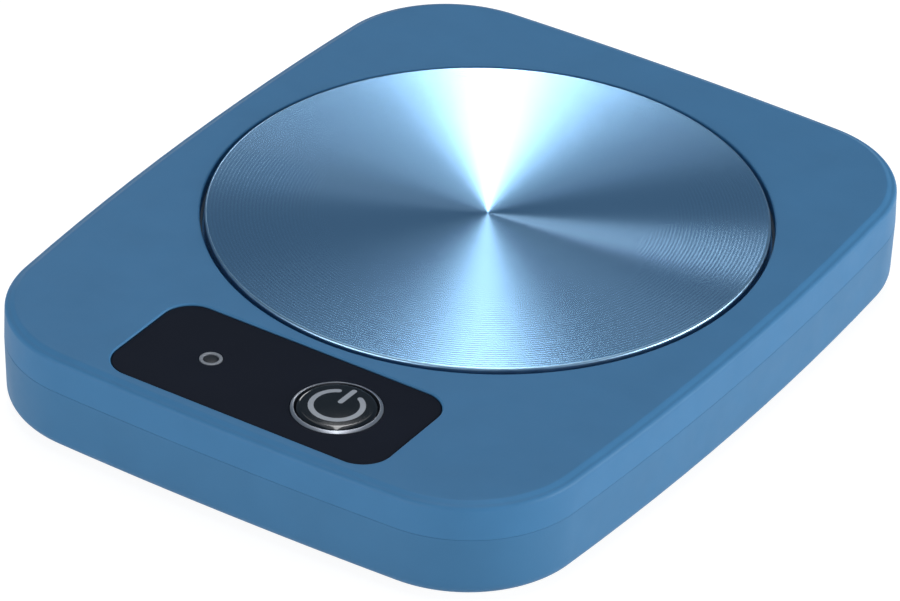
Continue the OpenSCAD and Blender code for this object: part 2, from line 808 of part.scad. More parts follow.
// The foil runs from one pad through every ring, changing sides at the break, and back along
// the break to the other pad
module heater_track() {
  break_w = 3 * track_w;
  pad = 4.6;
  free_side = track_rings % 2 == 0 ? 1 : -1;
  color("#b9a06a") translate([0, plate_y, track_z]) linear_extrude(track_t) union() {
    difference() {
      union() for (i = [0:track_rings - 1]) difference() {
        circle(track_first_r + i * track_pitch + track_w / 2);
        circle(track_first_r + i * track_pitch - track_w / 2);
      }
      translate([-break_w / 2, -heater_r]) square([break_w, heater_r]);
    }
    // Links from ring to ring
    for (i = [0:track_rings - 2])
      translate([
        (i % 2 == 0 ? -1 : 1) * (break_w / 2 + track_w / 2) - track_w / 2,
        -track_first_r - (i + 1) * track_pitch,
      ])
        square([track_w, track_pitch]);
    // From the innermost ring's open end back along the break to one pad
    translate([-track_w / 2, -track_first_r - track_w / 2])
      square([break_w / 2 + track_w, track_w]);
    translate([-track_w / 2, -lead_window_y - track_w / 2])
      square([track_w, lead_window_y - track_first_r]);
    translate([-free_side * lead_pad_x / 2 - lead_pad_x / 2, -lead_window_y - track_w / 2])
      square([lead_pad_x, track_w]);
    // From the outermost ring's open end to the other pad
    translate([free_side * (break_w / 2 + track_w / 2) - track_w / 2, -lead_window_y])
      square([track_w, lead_window_y - track_last_r + track_w]);
    for (side = [-1, 1])
      translate([side * lead_pad_x - pad / 2, -lead_window_y - pad / 2]) square(pad);
  }
}

module retaining_plate() {
  ear_r = ear_boss_r + 1;
  sensor_way_r = sensor_hole_r;
  color(steel_grey) translate([0, plate_y, 0]) difference() {
    union() {
      translate([0, 0, retainer_z]) cylinder(r = retainer_r, h = retainer_t);
      translate([0, 0, retainer_z - bead_h])
        ring(bead_d / 2 + bead_w / 2, bead_d / 2 - bead_w / 2, bead_h + retainer_t / 2);
      for (turn = [45:90:315]) rotate([0, 0, turn]) {
        translate([retainer_r - 3, -ear_r, retainer_z])
          cube([ear_pitch_r - retainer_r + 3, 2 * ear_r, retainer_t]);
        translate([ear_pitch_r, 0, retainer_z]) cylinder(r = ear_r, h = retainer_t);
      }
    }
    translate([0, 0, retainer_z - bead_h - cut])
      cylinder(r = sensor_way_r, h = retainer_t + bead_h + 2 * cut);
    translate([
      -lead_window_w / 2, -lead_window_y - lead_window_d / 2, retainer_z - bead_h - cut
    ])
      cube([lead_window_w, lead_window_d, retainer_t + bead_h + 2 * cut]);
    for (turn = [45:90:315]) rotate([0, 0, turn])
      translate([ear_pitch_r, 0, retainer_z - cut])
        cylinder(r = small_screw_r + 0.15, h = retainer_t + 2 * cut);
  }
}

module retaining_screws() {
  color(steel_grey) at_ears() translate([0, 0, retainer_z])
    screw_up(small_screw_r, retainer_t + ear_pilot_h - 0.5, small_head_r, small_head_t);
}
// The sensor's cap touches the plate; its neck passes through the clip
module temperature_sensor() {
  color("#c8ccd0") translate([0, plate_y, 0]) union() {
    translate([0, 0, clip_z + clip_t]) cylinder(r = sensor_r, h = disc_z - clip_z - clip_t);
    translate([0, 0, sensor_neck_z])
      cylinder(r = sensor_neck_r, h = clip_z + clip_t - sensor_neck_z + 0.5);
  }
}
module sensor_clip() {
  color(steel_grey) translate([0, plate_y, 0]) difference() {
    union() {
      translate([-clip_reach, -clip_w / 2, clip_z]) cube([2 * clip_reach, clip_w, clip_t]);
      for (side = [-1, 1])
        translate([side * (clip_reach - clip_foot / 2) - clip_foot / 2, -clip_w / 2, clip_z])
          cube([clip_foot, clip_w, clip_drop + clip_t]);
    }
    translate([0, 0, clip_z - cut])
      cylinder(r = sensor_neck_r + 0.1, h = clip_drop + clip_t + 2 * cut);
  }
}

module thermal_fuse() {
  color("#d8d4c8") translate([fuse_x, fuse_y, fuse_z]) rotate([90, 0, 0]) union() {
    cylinder(r = fuse_r, h = fuse_len, center = true);
    cylinder(r = fuse_pin_r, h = fuse_len + 2 * fuse_pin_len, center = true);
  }
}

module fuse_bracket() {
  strap_w = 4;
  sheet = 0.5;
  room = fuse_r + 0.1;
  flap = 4;
  color(steel_grey) translate([fuse_x, fuse_y - strap_w / 2, 0]) difference() {
    union() {
      translate([-room - sheet, 0, fuse_z - room - sheet])
        cube([2 * (room + sheet), strap_w, retainer_z - fuse_z + room + sheet]);
      for (side = [-1, 1])
        translate([side * (room + sheet / 2 + flap / 2) - flap / 2, 0, retainer_z - sheet])
          cube([flap, strap_w, sheet]);
    }
    translate([-room, -cut, fuse_z - room]) cube([2 * room, strap_w + 2 * cut, retainer_z]);
  }
}

// ---- wires

// From the left pad of the foil straight to the plug
module heater_lead() {
  start = [-pad_face.x, pad_face.y, pad_face.z];
  end = [heater_plug_x - plug_pitch / 2, plug_y, plug_z];
  color(wire_white) wire([start, start - [0, 0, 2.6], end + [0, 3, 0], end], wire_r);
}

// From the right pad of the foil round to the inner end of the thermal fuse
module fuse_lead_in() {
  end = [fuse_x, fuse_y + fuse_len / 2 + fuse_pin_len, fuse_z];
  color(wire_white) wire([
    pad_face, pad_face - [0, 0, 3.2], pad_face + [1, 5, -5], pad_face + [3, 20, -5.2],
    end + [-7, 2, -2], end + [-2, 4, -0.4], end + [0, 1.6, 0], end,
  ], wire_r);
}

// From the outer end of the thermal fuse to the plug
module fuse_lead_out() {
  start = [fuse_x, fuse_y - fuse_len / 2 - fuse_pin_len, fuse_z];
  end = [heater_plug_x + plug_pitch / 2, plug_y, plug_z];
  color(wire_white) wire([
    start, start - [0, 3, 0], end + [7.8, 10.8, -3], end + [3.3, 6.3, -2.6], end + [0, 3.5, 0], end,
  ], wire_r);
}

module sensor_leads() {
  lead_x = 1.2;
  color(wire_white) for (side = [-1, 1]) {
    start = [side * lead_x, plate_y, sensor_neck_z];
    end = [sensor_plug_x + side * plug_pitch / 2, plug_y, plug_z];
    wire([
      start, start - [0, 0, 1.8], start + [-5, -7, -3], end + [3, 18, -2.4], end + [0, 4, 0], end,
    ], sensor_wire_r);
  }
}

module supply_leads() {
  low = floor_z + wire_r + 0.2;
  for (side = [-1, 1]) {
    off = side * wire_spread;
    end = [supply_plug_x + side * plug_pitch / 2, plug_y, plug_z];
    color(side < 0 ? wire_red : wire_black) wire([
      [side * tab_x, tab_y, tab_z],
      [side * tab_x, tab_y - 2, tab_z],
      [14 + off, tab_y - 10 + off, low + 0.9],
      [wire_run_x - 4 + off, wire_post_y[1] + 17 + off, low],
      [wire_run_x + off, wire_post_y[1] + 11 + off, low],
      [wire_run_x + off, wire_post_y[1], low],
      [wire_run_x + off, wire_post_y[0], low],
      [wire_run_x - 3 + off, wire_post_y[0] - 14, low + 2],
      end + [0, 4, 0],
      end,
    ], wire_r, 3);
  }
}

// ---- the control panel

module panel() {
  color(panel_black) difference() {
    translate([0, -panel_y, panel_z]) rounded_sheet(panel_w, panel_d, panel_corner_r, panel_t);
    translate([button_x, -panel_y, panel_z - cut])
      cylinder(r = bezel_r + 0.05, h = panel_t + 2 * cut);
    translate([-indicator_x, -panel_y, panel_z - cut])
      cylinder(r = indicator_r + 0.05, h = panel_t + 2 * cut);
  }
}

module panel_tape() {
  tape_in = 1;
  color("#d9d9d9") difference() {
    translate([0, -panel_y, pocket_z])
      rounded_sheet(panel_w - 2 * tape_in, panel_d - 2 * tape_in, panel_corner_r - tape_in, tape_t);
    translate([button_x, -panel_y, pocket_z - cut])
      cylinder(r = bezel_flange_r + 0.5, h = tape_t + 2 * cut);
    translate([-indicator_x, -panel_y, pocket_z - cut])
      cylinder(r = indicator_r + 0.5, h = tape_t + 2 * cut);
  }
}

module button_ring() {
  color(mark_grey) translate([button_x, -panel_y, 0]) rotate_extrude()
    polygon([
      [bezel_in_r, bezel_z], [bezel_flange_r, bezel_z], [bezel_flange_r, panel_z],
      [bezel_r, panel_z], [bezel_r, panel_top_z + bezel_edge_h],
      [bezel_in_r + bezel_crest_w, panel_top_z + bezel_h], [bezel_in_r, panel_top_z + bezel_h]
    ]);
}

// The domed cap: its flange keeps it under the ring, its stem presses the switch
module power_button() {
  skirt_in_r = cap_r - cap_t;
  color(panel_black) difference() {
    translate([button_x, -panel_y, 0]) rotate_extrude()
      polygon(concat(
        [[0, stem_z], [stem_r, stem_z], [stem_r, cap_edge_z - cap_t], [skirt_in_r, cap_edge_z - cap_t],
          [skirt_in_r, cap_z], [cap_flange_r, cap_z], [cap_flange_r, bezel_z], [cap_r, bezel_z]],
        arc([dome_edge_r, cap_edge_z - cap_round], cap_round, 0, 80, 6),
        arc([0, dome_centre_z], dome_r, 90 - dome_angle, 90, 12)
      ));
    symbol_shape(cut);
  }
}

// The power sign: an open ring with a bar through its gap, towards the back, all ends rounded
module symbol_shape(t) {
  end_turn = 29.5;
  bar_from = 1.1;
  bar_to = 5.05;
  mid_r = symbol_r - symbol_w / 2;
  end_r = symbol_w / 2 - 0.01;
  translate([button_x, -panel_y, symbol_z]) linear_extrude(t) union() {
    difference() {
      circle(symbol_r);
      circle(symbol_r - symbol_w);
      polygon([
        [0, 0], 2 * symbol_r * [sin(end_turn), cos(end_turn)],
        2 * symbol_r * [-sin(end_turn), cos(end_turn)]
      ]);
    }
    for (turn = [-end_turn, end_turn]) translate(mid_r * [sin(turn), cos(turn)]) circle(end_r);
    translate([-symbol_w / 2, bar_from]) square([symbol_w, bar_to - bar_from]);
    for (y = [bar_from, bar_to]) translate([0, y]) circle(end_r);
  }
}

module power_symbol() {
  color(mark_grey) intersection() {
    symbol_shape(cut);
    translate([button_x, -panel_y, dome_centre_z]) sphere(r = dome_r, $fn = 720);
  }
}

module indicator_ring() {
  color(mark_grey) translate([-indicator_x, -panel_y, panel_z])
    ring(indicator_r, indicator_r - indicator_w, panel_t + 0.05);
}

module indicator_lens() {
  color("#33363d") translate([-indicator_x, -panel_y, panel_z])
    cylinder(r = guide_r, h = panel_t - 0.1);
}

module light_guide() {
  color("#dfe8ee") translate([-indicator_x, -panel_y, 0]) union() {
    translate([0, 0, guide_z]) cylinder(r = guide_r, h = panel_z - guide_z);
    translate([0, 0, pocket_under_z - guide_flange_t])
      cylinder(r = guide_flange_r, h = guide_flange_t);
  }
}

// ---- the circuit board

module circuit_board() {
  board_corner_r = 2;
  color(board_green) difference() {
    translate([0, -board_y, board_z]) rounded_sheet(board_w, board_d, board_corner_r, board_t);
    at_board_screws()
      translate([0, 0, board_z - cut]) cylinder(r = small_screw_r + 0.15, h = board_t + 2 * cut);
  }
}

module board_screws() {
  color(steel_grey) at_board_screws() translate([0, 0, board_z])
    screw_up(small_screw_r, board_t + board_pilot_h - 0.5, small_head_r, small_head_t);
}

// A part that lies flat on the board, centred on x, y
module on_board(x, y, w, d, h) {
  translate([x - w / 2, y - d / 2, board_top_z]) cube([w, d, h]);
}

module indicator_led() {
  color("#f0ead0") on_board(-indicator_x, -panel_y, 2, 1.25, led_h);
}

module switch_housing() {
  color("#2a2a2c") difference() {
    on_board(button_x, -panel_y, switch_w, switch_w, switch_h - switch_cover_t);
    translate([button_x, -panel_y, switch_well_z]) cylinder(r = switch_well_r, h = switch_h);
  }
}

module switch_cover() {
  color(steel_grey) difference() {
    translate([
      button_x - switch_w / 2, -panel_y - switch_w / 2, board_top_z + switch_h - switch_cover_t
    ])
      cube([switch_w, switch_w, switch_cover_t]);
    translate([button_x, -panel_y, board_top_z])
      cylinder(r = plunger_r + 0.1, h = switch_h + cut);
  }
}
module switch_plunger() {
  color("#c9c9c4") translate([button_x, -panel_y, 0]) union() {
    translate([0, 0, plunger_flange_z]) cylinder(r = plunger_r, h = stem_z - plunger_flange_z);
    translate([0, 0, plunger_flange_z]) cylinder(r = plunger_r + 0.4, h = plunger_flange_t);
  }
}

// A thin snap dome under the plunger
module switch_dome() {
  rise = snap_h - snap_t;
  sphere_r = (snap_r ^ 2 + rise ^ 2) / (2 * rise);
  lean = asin(snap_r / sphere_r);
  centre = [0, snap_h - snap_t - sphere_r];
  color("#d6c27a") translate([button_x, -panel_y, switch_well_z]) rotate_extrude()
    polygon(concat(
      arc(centre, sphere_r + snap_t, 90 - lean, 90, 6),
      arc(centre, sphere_r, 90, 90 - lean, 6)
    ));
}

module microcontroller() {
  body = [10, 4, 1.5];
  pins = 8;
  pitch = 1.27;
  pin = [0.4, 6, 0.2];
  color("#202124") union() {
    on_board(mcu_x, mcu_y, body.x, body.y, body.z);
    for (i = [0:pins - 1])
      on_board(mcu_x + (i - (pins - 1) / 2) * pitch, mcu_y, pin.x, pin.y, pin.z);
  }
}

module power_transistor() {
  color("#202124") union() {
    on_board(side_part_x, back_row_y, 6.6, 6.1, 2.3);
    on_board(side_part_x, back_row_y - 3.7, 5.2, 1.5, 0.5);
  }
}

module voltage_regulator() {
  color("#202124") union() {
    on_board(regulator_x, regulator_y, 6.5, 3.5, 1.6);
    on_board(regulator_x, regulator_y, 3, 7, 0.25);
  }
}

module inductor() {
  color("#3d3f43") translate([-side_part_x, back_row_y, board_top_z]) union() {
    translate([-3, -3, 0]) cube([6, 6, 0.6]);
    cylinder(r = 2.9, h = 3);
  }
}

module smoothing_capacitor() {
  color("#b9bdc2") translate([-side_part_x, capacitor_y, board_top_z]) union() {
    translate([-2.7, -2.7, 0]) cube([5.4, 5.4, 0.6]);
    cylinder(r = 2.5, h = 4.8);
  }
}

module chip_resistors() {
  color("#303234") for (i = [0:4]) on_board(-6 + i * 2.6, chip_row_y, 1.2, 2, 0.5);
}

module chip_capacitors() {
  color("#b08a5a") for (i = [0:2]) on_board(chip_column_x, chip_column_y - i * 2.4, 2, 1.2, 0.7);
}

module header(x) {
  opening_h = header_h - 2 * header_wall;
  opening_w = header_w - 2 * header_wall;
  color(connector_cream) difference() {
    on_board(x, board_back_y - header_d / 2, header_w, header_d, header_h);
    translate([
      x - opening_w / 2, board_back_y - header_d + header_wall, board_top_z + header_wall
    ])
      cube([opening_w, header_d, opening_h]);
  }
}

module plug(x) {
  color("#f3efe4")
    translate([x - plug_w / 2, plug_y - plug_len, plug_z - plug_h / 2])
      cube([plug_w, plug_len, plug_h]);
}

// ---- the power inlet

module inlet_housing() {
  color("#222326") difference() {
    union() {
      translate([-inlet_w / 2, inlet_back_y, floor_z]) cube([inlet_w, inlet_len, inlet_h]);
      translate([0, inlet_front_y - 0.5, inlet_z]) rotate([-90, 0, 0])
        cylinder(r = inlet_nose_r, h = inlet_nose_len + 0.5);
    }
    translate([0, inlet_front_y + inlet_nose_len - inlet_bore_depth, inlet_z]) rotate([-90, 0, 0])
      cylinder(r = inlet_bore_r, h = inlet_bore_depth + cut);
  }
}

module inlet_pin() {
  tip_in = 1;
  color("#d8d3c4")
    translate([0, inlet_front_y + inlet_nose_len - inlet_bore_depth, inlet_z])
      rotate([-90, 0, 0]) cylinder(r = inlet_pin_r, h = inlet_bore_depth - tip_in);
}

module inlet_contacts() {
  tab = [1.8, 0.4, 3];
  color("#d8d3c4") for (side = [-1, 1])
    translate([side * tab_x - tab.x / 2, tab_y, tab_z - tab.z / 2])
      cube([tab.x, inlet_back_y - tab_y, tab.y]);
}

module inlet_strap() {
  color(steel_grey) difference() {
    translate([
      -strap_screw_x - strap_boss_r, strap_y - strap_d / 2, floor_z + inlet_h
    ])
      cube([2 * (strap_screw_x + strap_boss_r), strap_d, strap_t]);
    for (side = [-1, 1]) translate([side * strap_screw_x, strap_y, floor_z + inlet_h - cut])
      cylinder(r = small_screw_r + 0.15, h = strap_t + 2 * cut);
  }
}

module strap_screws() {
  color(steel_grey) for (side = [-1, 1])
    translate([side * strap_screw_x, strap_y, floor_z + inlet_h + strap_t]) mirror([0, 0, 1])
      screw_up(small_screw_r, strap_t + strap_screw_bite, small_head_r, small_head_t);
}

top_cover();
bottom_cover();
heating_plate();
plate_seal();
upper_mica();
heater_track();
lower_mica();
insulation_pad();
retaining_plate();
retaining_screws();
temperature_sensor();
sensor_clip();
thermal_fuse();
fuse_bracket();
heater_lead();
fuse_lead_in();
fuse_lead_out();
sensor_leads();
panel();
panel_tape();
button_ring();
power_button();
power_symbol();
indicator_ring();
indicator_lens();
light_guide();
circuit_board();
board_screws();
indicator_led();
switch_housing();
switch_cover();
switch_plunger();
switch_dome();
microcontroller();
power_transistor();
voltage_regulator();
inductor();
smoothing_capacitor();
chip_resistors();
chip_capacitors();
header(heater_plug_x);  // heater_header
header(sensor_plug_x);  // sensor_header
header(supply_plug_x);  // supply_header
plug(heater_plug_x);  // heater_plug
plug(sensor_plug_x);  // sensor_plug
plug(supply_plug_x);  // supply_plug
supply_leads();
inlet_housing();
inlet_pin();
inlet_contacts();
inlet_strap();
strap_screws();
case_screws();
foot(-1, -1);  // foot_front_left
foot(1, -1);  // foot_front_right
foot(-1, 1);  // foot_back_left
foot(1, 1);  // foot_back_right
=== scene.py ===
import math

import bmesh
import bpy
from mathutils import Matrix, Vector


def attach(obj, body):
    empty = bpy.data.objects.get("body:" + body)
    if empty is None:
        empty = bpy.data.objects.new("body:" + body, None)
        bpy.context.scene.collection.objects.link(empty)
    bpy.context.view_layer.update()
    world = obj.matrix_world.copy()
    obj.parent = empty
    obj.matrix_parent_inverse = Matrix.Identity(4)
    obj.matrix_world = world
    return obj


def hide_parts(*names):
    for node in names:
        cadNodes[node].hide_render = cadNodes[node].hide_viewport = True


mm = 0.001  # lengths below are written in millimetres and turned to metres with this

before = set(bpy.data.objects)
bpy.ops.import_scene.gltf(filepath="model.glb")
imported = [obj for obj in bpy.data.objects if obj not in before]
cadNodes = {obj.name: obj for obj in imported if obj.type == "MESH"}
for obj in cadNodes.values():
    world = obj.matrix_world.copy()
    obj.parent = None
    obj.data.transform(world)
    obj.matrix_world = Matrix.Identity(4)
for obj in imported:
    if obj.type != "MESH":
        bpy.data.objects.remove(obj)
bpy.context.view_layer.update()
print("frame loaded:", len(cadNodes), "nodes")


# ---- camera

shot = {
    "place": (518.76, -815.82, 632.64),  # where the camera stands, mm
    "azimuth": 32.515,  # degrees round from straight in front
    "elevation": 32.902,
    "roll": 1.729,
    "sensor": 36,  # width, mm
    "lens": 270.29,
    "sees": (0.05, 60),  # from and to, metres
}


def makeCamera():
    data = bpy.data.cameras.new("camera")
    data.sensor_width = shot["sensor"]
    data.sensor_fit = "HORIZONTAL"
    data.lens = shot["lens"]
    data.clip_start, data.clip_end = shot["sees"]
    camera = bpy.data.objects.new("camera", data)
    bpy.context.scene.collection.objects.link(camera)
    a, e, r = (math.radians(shot[key]) for key in ("azimuth", "elevation", "roll"))
    back = Vector((math.sin(a) * math.cos(e), -math.cos(a) * math.cos(e), math.sin(e)))
    right = Vector((math.cos(a), math.sin(a), 0))
    up = back.cross(right)
    turned = Matrix(
        (
            math.cos(r) * right + math.sin(r) * up,
            math.cos(r) * up - math.sin(r) * right,
            back,
        )
    ).transposed()
    camera.matrix_world = Matrix.Translation(Vector(shot["place"]) * mm) @ turned.to_4x4()
    bpy.context.scene.camera = camera


makeCamera()
bpy.context.scene.view_settings.view_transform = "Standard"
print("camera placed")


# ---- helpers for materials


def hexColour(text):
    # sRGB hex to linear
    values = [int(text[i : i + 2], 16) / 255 for i in (1, 3, 5)]
    return [v / 12.92 if v <= 0.04045 else ((v + 0.055) / 1.055) ** 2.4 for v in values] + [1]


def addNode(tree, kind, settings=None, links=None):
    # settings are the node's own properties or its inputs, links go into its inputs
    node = tree.nodes.new(kind)
    for key, value in (settings or {}).items():
        if isinstance(key, int) or key in node.inputs:
            node.inputs[key].default_value = value
        else:
            setattr(node, key, value)
    for key, socket in (links or {}).items():
        tree.links.new(socket, node.inputs[key])
    return node


def fillInputs(tree, node, values):
    # each value is a number, a vector, another node's output, or None to leave the input alone
    for socket, value in zip(node.inputs, values):
        if isinstance(value, bpy.types.NodeSocket):
            tree.links.new(value, socket)
        elif value is not None:
            socket.default_value = value


def plainMath(tree, operation, *values):
    node = addNode(tree, "ShaderNodeMath", {"operation": operation})
    fillInputs(tree, node, values)
    return node.outputs[0]


def vectorMath(tree, operation, *values, output="Vector"):
    node = addNode(tree, "ShaderNodeVectorMath", {"operation": operation})
    fillInputs(tree, node, values)
    return node.outputs[output]


def newMaterial(name, settings):
    material = bpy.data.materials.new(name)
    material.use_nodes = True
    tree = material.node_tree
    tree.nodes.clear()
    shader = addNode(tree, "ShaderNodeBsdfPrincipled", settings)
    addNode(tree, "ShaderNodeOutputMaterial", {}, {"Surface": shader.outputs[0]})
    return material, tree, shader


def grain(tree, shader, size, height, detail=2.0):
    # moulded or cast grain: soft noise of the given size and height, both in mm
    place = addNode(tree, "ShaderNodeTexCoord")
    noise = addNode(
        tree,
        "ShaderNodeTexNoise",
        {"Scale": 1 / (size * mm), "Detail": detail, "Roughness": 0.55},
        {"Vector": place.outputs["Object"]},
    )
    bump = addNode(
        tree,
        "ShaderNodeBump",
        {"Strength": 1.0, "Distance": height * mm},
        {"Height": noise.outputs[0]},
    )
    tree.links.new(bump.outputs[0], shader.inputs["Normal"])
    return place


def mottle(tree, place, low, high, size, socket, detail=2.0):
    # a slow change between two colours, or two greys for a number, over the surface
    noise = addNode(
        tree,
        "ShaderNodeTexNoise",
        {"Scale": 1 / (size * mm), "Detail": detail, "Roughness": 0.5},
        {"Vector": place.outputs["Object"]},
    )
    ramp = addNode(tree, "ShaderNodeValToRGB", {}, {"Fac": noise.outputs[0]})
    # nearly all of the noise lies between these two positions
    for element, position, colour in zip(ramp.color_ramp.elements, (0.3, 0.7), (low, high)):
        element.position = position
        element.color = colour
    tree.links.new(ramp.outputs[0], socket)


def greyTone(value):
    return [value, value, value, 1]


def shade(colour, factor):
    return [c * factor for c in colour[:3]] + [1]


# ---- helpers for modelling

weld = 0.002 * mm  # vertices nearer than this are joined
sameHeight = 0.001 * mm  # what lies this near to a height counts as lying at it


def deselectAll():
    if bpy.context.object and bpy.context.object.mode != "OBJECT":
        bpy.ops.object.mode_set(mode="OBJECT")
    bpy.ops.object.select_all(action="DESELECT")


def chooseOnly(piece):
    deselectAll()
    piece.select_set(True)
    bpy.context.view_layer.objects.active = piece


def pickEdges(piece, test):
    # in edit mode, selects the edges for which the test of their middle and themselves holds
    bpy.ops.mesh.select_mode(type="EDGE")
    bpy.ops.mesh.select_all(action="DESELECT")
    mesh = bmesh.from_edit_mesh(piece.data)
    for edge in mesh.edges:
        middle = (edge.verts[0].co + edge.verts[1].co) / 2
        if test(middle, edge):
            edge.select_set(True)
    bmesh.update_edit_mesh(piece.data)


def drawLine(name, points):
    # draws an open line vertex by vertex and leaves all of it selected in edit mode
    deselectAll()
    bpy.ops.mesh.primitive_plane_add(size=mm)
    piece = bpy.context.object
    piece.name = piece.data.name = name
    bpy.ops.object.mode_set(mode="EDIT")
    bpy.ops.mesh.select_mode(type="VERT")
    bpy.ops.mesh.select_all(action="SELECT")
    bpy.ops.mesh.merge(type="CENTER")
    bpy.ops.transform.translate(value=points[0])
    for before, after in zip(points, points[1:]):
        bpy.ops.mesh.extrude_vertices_move(
            TRANSFORM_OT_translate={"value": Vector(after) - Vector(before)}
        )
    bpy.ops.mesh.select_all(action="SELECT")
    return piece


def closeUp(piece):
    # joins double vertices and turns every face outwards
    bpy.ops.mesh.select_mode(type="VERT")
    bpy.ops.mesh.select_all(action="SELECT")
    bpy.ops.mesh.remove_doubles(threshold=weld)
    bpy.ops.mesh.normals_make_consistent(inside=False)
    bpy.ops.object.mode_set(mode="OBJECT")
    return piece


def arc(centre, radius, start, end, steps):
    # points of an arc between two angles in degrees
    angles = [math.radians(start + (end - start) * i / steps) for i in range(steps + 1)]
    return [(centre[0] + radius * math.cos(a), centre[1] + radius * math.sin(a)) for a in angles]


def spun(name, section, centre, steps):
    # turns a line of (radius, height) points round an upright axis
    points = [((centre[0] + r) * mm, centre[1] * mm, z * mm) for r, z in section]
    piece = drawLine(name, points)
    bpy.ops.mesh.spin(
        steps=steps,
        angle=2 * math.pi,
        center=(centre[0] * mm, centre[1] * mm, 0),
        axis=(0, 0, 1),
    )
    return closeUp(piece)


def peg(name, radius, low, high, centre, steps=48):
    return spun(name, [(0, low), (radius, low), (radius, high), (0, high)], centre, steps)


def block(name, low, high):
    deselectAll()
    bpy.ops.mesh.primitive_cube_add(size=mm)
    piece = bpy.context.object
    piece.name = piece.data.name = name
    piece.scale = [b - a for a, b in zip(low, high)]
    piece.location = [(a + b) / 2 * mm for a, b in zip(low, high)]
    bpy.ops.object.transform_apply(location=True, rotation=True, scale=True)
    return piece


def softBlock(name, low, high):
    # a block with small rounds on all its edges
    piece = block(name, low, high)
    roundEdges(piece, lambda m, edge: True, width=0.2, segments=2)
    return piece


def roundedPlate(name, size, corner, low, high, centre, segments=16):
    # a plane whose four corners are bevelled, extruded upwards
    deselectAll()
    bpy.ops.mesh.primitive_plane_add(size=mm)
    piece = bpy.context.object
    piece.name = piece.data.name = name
    piece.scale = (size[0], size[1], 1)
    piece.location = (centre[0] * mm, centre[1] * mm, low * mm)
    bpy.ops.object.transform_apply(location=True, rotation=True, scale=True)
    bpy.ops.object.mode_set(mode="EDIT")
    bpy.ops.mesh.select_mode(type="VERT")
    bpy.ops.mesh.select_all(action="SELECT")
    bpy.ops.mesh.bevel(
        offset=corner * mm, offset_type="OFFSET", segments=segments, affect="VERTICES"
    )
    bpy.ops.mesh.select_all(action="SELECT")
    bpy.ops.mesh.extrude_region_move(
        TRANSFORM_OT_translate={"value": (0, 0, (high - low) * mm)}
    )
    return closeUp(piece)


def outlined(name, points, low, high):
    # a closed outline of (x, y) points, filled and extruded upwards
    piece = drawLine(name, [(x * mm, y * mm, low * mm) for x, y in points + points[:1]])
    bpy.ops.mesh.remove_doubles(threshold=weld / 2)
    bpy.ops.mesh.select_all(action="SELECT")
    bpy.ops.mesh.edge_face_add()
    bpy.ops.mesh.extrude_region_move(
        TRANSFORM_OT_translate={"value": (0, 0, (high - low) * mm)}
    )
    return closeUp(piece)


def closeEnds(piece, *heights):
    # fills the open rims at the given heights
    for z in heights:
        pickEdges(piece, lambda m, edge: edge.is_boundary and abs(m.z - z * mm) < sameHeight)
        bpy.ops.mesh.edge_face_add()
    return closeUp(piece)


def sweptPlate(name, size, corner, centre, section, steps=20):
    # carries an open line of (outset, height) points clockwise round a rounded rectangle
    reachX, reachY = size[0] / 2 - corner, size[1] / 2 - corner
    start = (centre[0] + size[0] / 2, centre[1] + reachY)
    piece = drawLine(name, [((start[0] + out) * mm, start[1] * mm, z * mm) for out, z in section])
    for x, y, along in ((1, -1, (0, -1)), (-1, -1, (-1, 0)), (-1, 1, (0, 1)), (1, 1, (1, 0))):
        length = 2 * (reachX if along[0] else reachY) * mm
        bpy.ops.mesh.extrude_region_move(
            TRANSFORM_OT_translate={"value": (along[0] * length, along[1] * length, 0)}
        )
        middle = ((centre[0] + x * reachX) * mm, (centre[1] + y * reachY) * mm, 0)
        bpy.ops.mesh.spin(steps=steps, angle=math.pi / 2, center=middle, axis=(0, 0, 1))
    bpy.ops.mesh.select_all(action="SELECT")
    bpy.ops.mesh.remove_doubles(threshold=weld)
    return closeEnds(piece, section[0][1], section[-1][1])


def flare(edge, lip, low, high):
    # section of a cutter that leaves a rounded lip at the surface at height high
    outer = edge + lip + 0.02
    return (
        [(edge, low)]
        + arc((edge + lip, high - lip), lip, 180, 96, 6)
        + [(outer, high + 0.01), (outer, high + 1)]
    )


def combine(piece, tool, operation="DIFFERENCE"):
    chooseOnly(piece)
    modifier = piece.modifiers.new(operation.lower(), "BOOLEAN")
    modifier.operation = operation
    modifier.solver = "EXACT"
    modifier.object = tool
    bpy.ops.object.modifier_apply(modifier=modifier.name)
    bpy.data.objects.remove(tool)
    return piece


def join(piece, *others):
    # adds closed forms that stand in the piece's walls
    chooseOnly(piece)
    for other in others:
        other.select_set(True)
    bpy.ops.object.join()
    return piece


def roundEdges(piece, test, width, segments=3):
    # bevels the edges that the test picks
    chooseOnly(piece)
    bpy.ops.object.mode_set(mode="EDIT")
    pickEdges(piece, test)
    bpy.ops.mesh.bevel(offset=width * mm, offset_type="OFFSET", segments=segments, affect="EDGES")
    bpy.ops.object.mode_set(mode="OBJECT")


def finishPiece(piece, material, body, slotName, *replaced, angle=32):
    chooseOnly(piece)
    bpy.ops.object.shade_smooth_by_angle(angle=math.radians(angle), keep_sharp_edges=False)
    modifier = piece.modifiers.new("weighted normals", "WEIGHTED_NORMAL")
    modifier.keep_sharp = True
    bpy.ops.object.modifier_apply(modifier=modifier.name)
    piece.data.materials.clear()
    piece.data.materials.append(material)
    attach(piece, body)
    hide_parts(*replaced)
    deselectAll()


# ---- sizes that several pieces share

